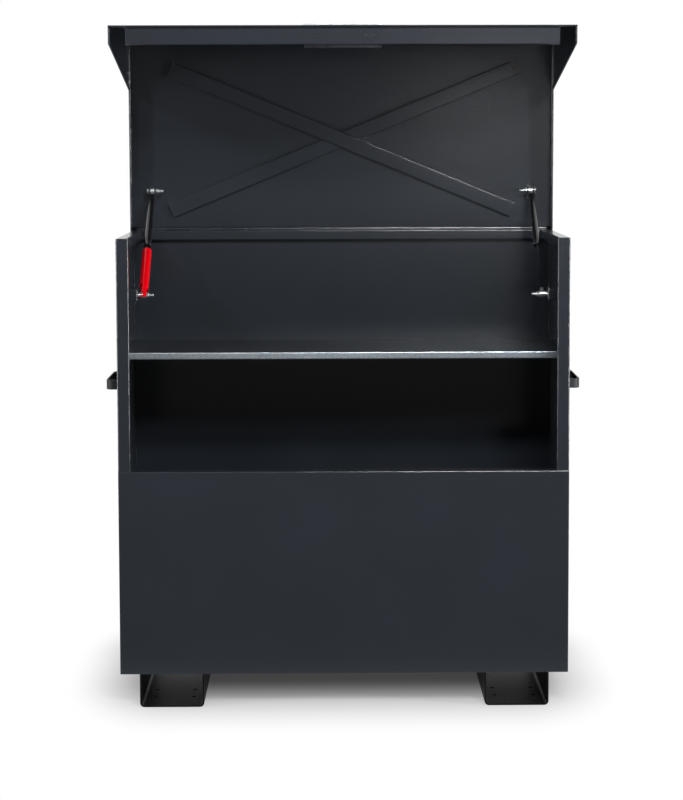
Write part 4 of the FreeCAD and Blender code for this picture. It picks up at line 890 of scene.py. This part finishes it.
tangent = math.acos((COVER - COVER_NECK) / (KEY_V - RIVET_V))
wide = [math.pi / 2 + tangent + (2 * math.pi - 2 * tangent) * i / 24 for i in range(25)]
wide = [(COVER * math.cos(turn), KEY_V - COVER * math.sin(turn)) for turn in wide]
narrow = [math.pi / 2 - tangent + 2 * tangent * i / 12 for i in range(13)]
narrow = [(COVER_NECK * math.cos(turn), RIVET_V - COVER_NECK * math.sin(turn)) for turn in narrow]
cover = drawn(wide + narrow, on_front, (COVER_LOW, COVER_FACE), 0.35)
cover = combined("DIFFERENCE", cover, barrel(round_rivet, RIVET + 0.1, (COVER_LOW - 1, COVER_FACE + 1)))
finished("keyhole_cover_cut", cover, charcoal, "key_cover", ["keyhole_cover"])
finished("keyhole_rivet_set", turned([
    (0, PLATE_FACE), (RIVET, PLATE_FACE), (RIVET, COVER_FACE + 0.1), (RIVET_HEAD, COVER_FACE + 0.1),
    (4.7, COVER_FACE + 0.55), (3.8, COVER_FACE + 0.95), (2.2, COVER_FACE + 1.2), (0, COVER_FACE + 1.3)],
    round_rivet), bright_zinc, "lid", ["keyhole_rivet"])


# ---------------------------------------------------------------- studio
# A white floor and surround, dim where the box would mirror them from its front, so that its dark paint
# shows no haze. Softboxes stand high in front, left and right, a weak one low, and a tall strip each side.

DIM = 0.06


def shown_share(tree, lit):
    """1 for camera rays, and for reflected and transmitted rays as far as they meet a lit part."""
    path = add(tree, "ShaderNodeLightPath")
    seen = add(tree, "ShaderNodeMath", {0: path.outputs["Is Glossy Ray"],
                                        1: path.outputs["Is Transmission Ray"]}, operation="MAXIMUM")
    part = add(tree, "ShaderNodeMath", {0: seen.outputs["Value"], 1: lit}, operation="MULTIPLY")
    return add(tree, "ShaderNodeMath", {0: path.outputs["Is Camera Ray"], 1: part.outputs["Value"]},
               operation="MAXIMUM").outputs["Value"]


world = bpy.data.worlds.new("white_surround")
bpy.context.scene.world = world
world.use_nodes = True
tree = world.node_tree
tree.nodes.clear()
way = add(tree, "ShaderNodeSeparateXYZ", {"Vector": add(tree, "ShaderNodeTexCoord").outputs["Generated"]})
behind = add(tree, "ShaderNodeMapRange", {"Value": way.outputs["Y"], "From Min": -0.45, "From Max": 0.15,
                                          "To Min": DIM, "To Max": 1.0}, interpolation_type="SMOOTHSTEP")
fill = add(tree, "ShaderNodeBackground", {"Color": (1, 1, 1, 1), "Strength": DIM})
white = add(tree, "ShaderNodeBackground", {"Color": (1, 1, 1, 1), "Strength": 1.0})
mixed = add(tree, "ShaderNodeMixShader", {0: shown_share(tree, behind.outputs["Result"]), 1: fill.outputs[0],
                                          2: white.outputs[0]})
add(tree, "ShaderNodeOutputWorld", {"Surface": mixed.outputs[0]})

# Flat floor paint: it keeps the real shadow under the box, and its white glow fades out towards the box as a
# painted shadow, plain white 0.3 m in front of it. Its own colour is a mid grey, so that little light comes
# back up to the box.
REACH, FLOOR_GREY = 30, 0.3
mesh = bpy.data.meshes.new("floor")
mesh.from_pydata([(-REACH, -REACH, 0), (REACH, -REACH, 0), (REACH, REACH, 0), (-REACH, REACH, 0)], [],
                 [(0, 1, 2, 3)])
floor = bpy.data.objects.new("floor", mesh)
bpy.context.scene.collection.objects.link(floor)
made, tree, shader, place = new_material("white_floor_paint")
shader.inputs["Base Color"].default_value = (FLOOR_GREY, FLOOR_GREY, FLOOR_GREY, 1)
shader.inputs["Roughness"].default_value = 0.9
shader.inputs["Specular IOR Level"].default_value = 0.1
SHADOW_MIDDLE, SHADOW_HALF, SHADOW_SPREAD, FADE = (0, 0.19, 0), (0.46, 0.15, 0), (1.9, 1, 0), 0.62
glow = add(tree, "ShaderNodeEmission", {"Color": (1, 1, 1, 1)})
middle = add(tree, "ShaderNodeVectorMath", {0: place, 1: SHADOW_MIDDLE}, operation="SUBTRACT")
span = add(tree, "ShaderNodeVectorMath", {0: middle.outputs["Vector"]}, operation="ABSOLUTE")
past = add(tree, "ShaderNodeVectorMath", {0: span.outputs["Vector"], 1: SHADOW_HALF}, operation="SUBTRACT")
outside = add(tree, "ShaderNodeVectorMath", {0: past.outputs["Vector"], 1: (0, 0, 0)}, operation="MAXIMUM")
spread = add(tree, "ShaderNodeVectorMath", {0: outside.outputs["Vector"], 1: SHADOW_SPREAD},
             operation="MULTIPLY")
distance = add(tree, "ShaderNodeVectorMath", {0: spread.outputs["Vector"]}, operation="LENGTH")
# Painted shadow: the glow's share falls towards the box's footprint whatever the lamps do; there the floor
# shows its real shading.
painted_shadow_fade = add(tree, "ShaderNodeMapRange", {
    "Value": distance.outputs["Value"], "From Min": 0.0, "From Max": FADE, "To Min": 0.05, "To Max": 1.0},
    interpolation_type="SMOOTHSTEP")
# Reflections see the floor dim in front of the box, as they see the surround.
spot = add(tree, "ShaderNodeSeparateXYZ", {"Vector": place})
lit = add(tree, "ShaderNodeMapRange", {"Value": spot.outputs["Y"], "From Min": -0.9, "From Max": 0.2,
                                       "To Min": DIM, "To Max": 1.0}, interpolation_type="SMOOTHSTEP")
path = add(tree, "ShaderNodeLightPath")
brightness = add(tree, "ShaderNodeMath", {0: path.outputs["Is Camera Ray"], 1: lit.outputs["Result"]},
                 operation="MAXIMUM")
tree.links.new(brightness.outputs["Value"], glow.inputs["Strength"])
share = add(tree, "ShaderNodeMath", {0: shown_share(tree, 1.0), 1: painted_shadow_fade.outputs["Result"]},
            operation="MULTIPLY")
together = add(tree, "ShaderNodeMixShader", {0: share.outputs["Value"], 1: shader.outputs[0],
                                             2: glow.outputs[0]})
tree.links.new(together.outputs[0], tree.nodes["Material Output"].inputs["Surface"])
mesh.materials.append(made)


def softbox(name, place, target, wide, high, watts):
    """A rectangular lamp that faces a point."""
    lamp = bpy.data.lights.new(name, "AREA")
    lamp.shape = "RECTANGLE"
    lamp.size, lamp.size_y, lamp.energy = wide, high, watts
    holder = bpy.data.objects.new(name, lamp)
    holder.location = place
    holder.rotation_euler = (Vector(target) - Vector(place)).to_track_quat("-Z", "Y").to_euler()
    bpy.context.scene.collection.objects.link(holder)


softbox("softbox_right", (2.3, -4.2, 3.3), (0, 0, 1.1), 0.5, 0.5, 25)
softbox("softbox_left", (-3.2, -3.9, 3.8), (0, 0, 1.1), 0.5, 0.5, 60)
softbox("softbox_above", (0.6, -3.5, 3.6), (0, -0.2, 1.0), 0.9, 0.4, 110)
softbox("softbox_high", (1.35, -3.9, 3.2), (0, 0, 1.1), 0.5, 0.4, 70)
softbox("softbox_front", (0.83, -6.0, 1.4), (0, 0, 1.5), 0.5, 0.5, 1.4)
softbox("strip_right", (3.9, -1.6, 1.3), (0, 0, 1.3), 0.4, 2.2, 170)
softbox("strip_left", (-3.9, -1.6, 1.3), (0, 0, 1.3), 0.4, 2.2, 100)


# ---------------------------------------------------------------- camera
# A long lens six metres in front of the box and 1.5 m up, tilted down by five degrees, its frame shifted a
# little. Focal length and shift are in pixels of the upright 683 by 800 frame, whose long side is 800.

FOCAL, SHIFT_X, SHIFT_Y, LONG_SIDE, SENSOR = 2244.0, -15.0, -64.1, 800, 36
PLACE, PAN, TILT, ROLL = (-0.0466, -6.1864, 1.5198), -0.013678, -0.0881357, -0.0023654
eye = bpy.data.cameras.new("camera")
eye.lens = FOCAL / LONG_SIDE * SENSOR
eye.sensor_width = SENSOR
eye.shift_x, eye.shift_y = SHIFT_X / LONG_SIDE, SHIFT_Y / LONG_SIDE
camera = bpy.data.objects.new("camera", eye)
camera.matrix_world = (Matrix.Translation(PLACE) @ Matrix.Rotation(PAN, 4, "Z")
                       @ Matrix.Rotation(math.pi / 2 + TILT, 4, "X") @ Matrix.Rotation(ROLL, 4, "Z"))
bpy.context.scene.collection.objects.link(camera)
bpy.context.scene.camera = camera
bpy.context.scene.view_settings.view_transform = "Standard"
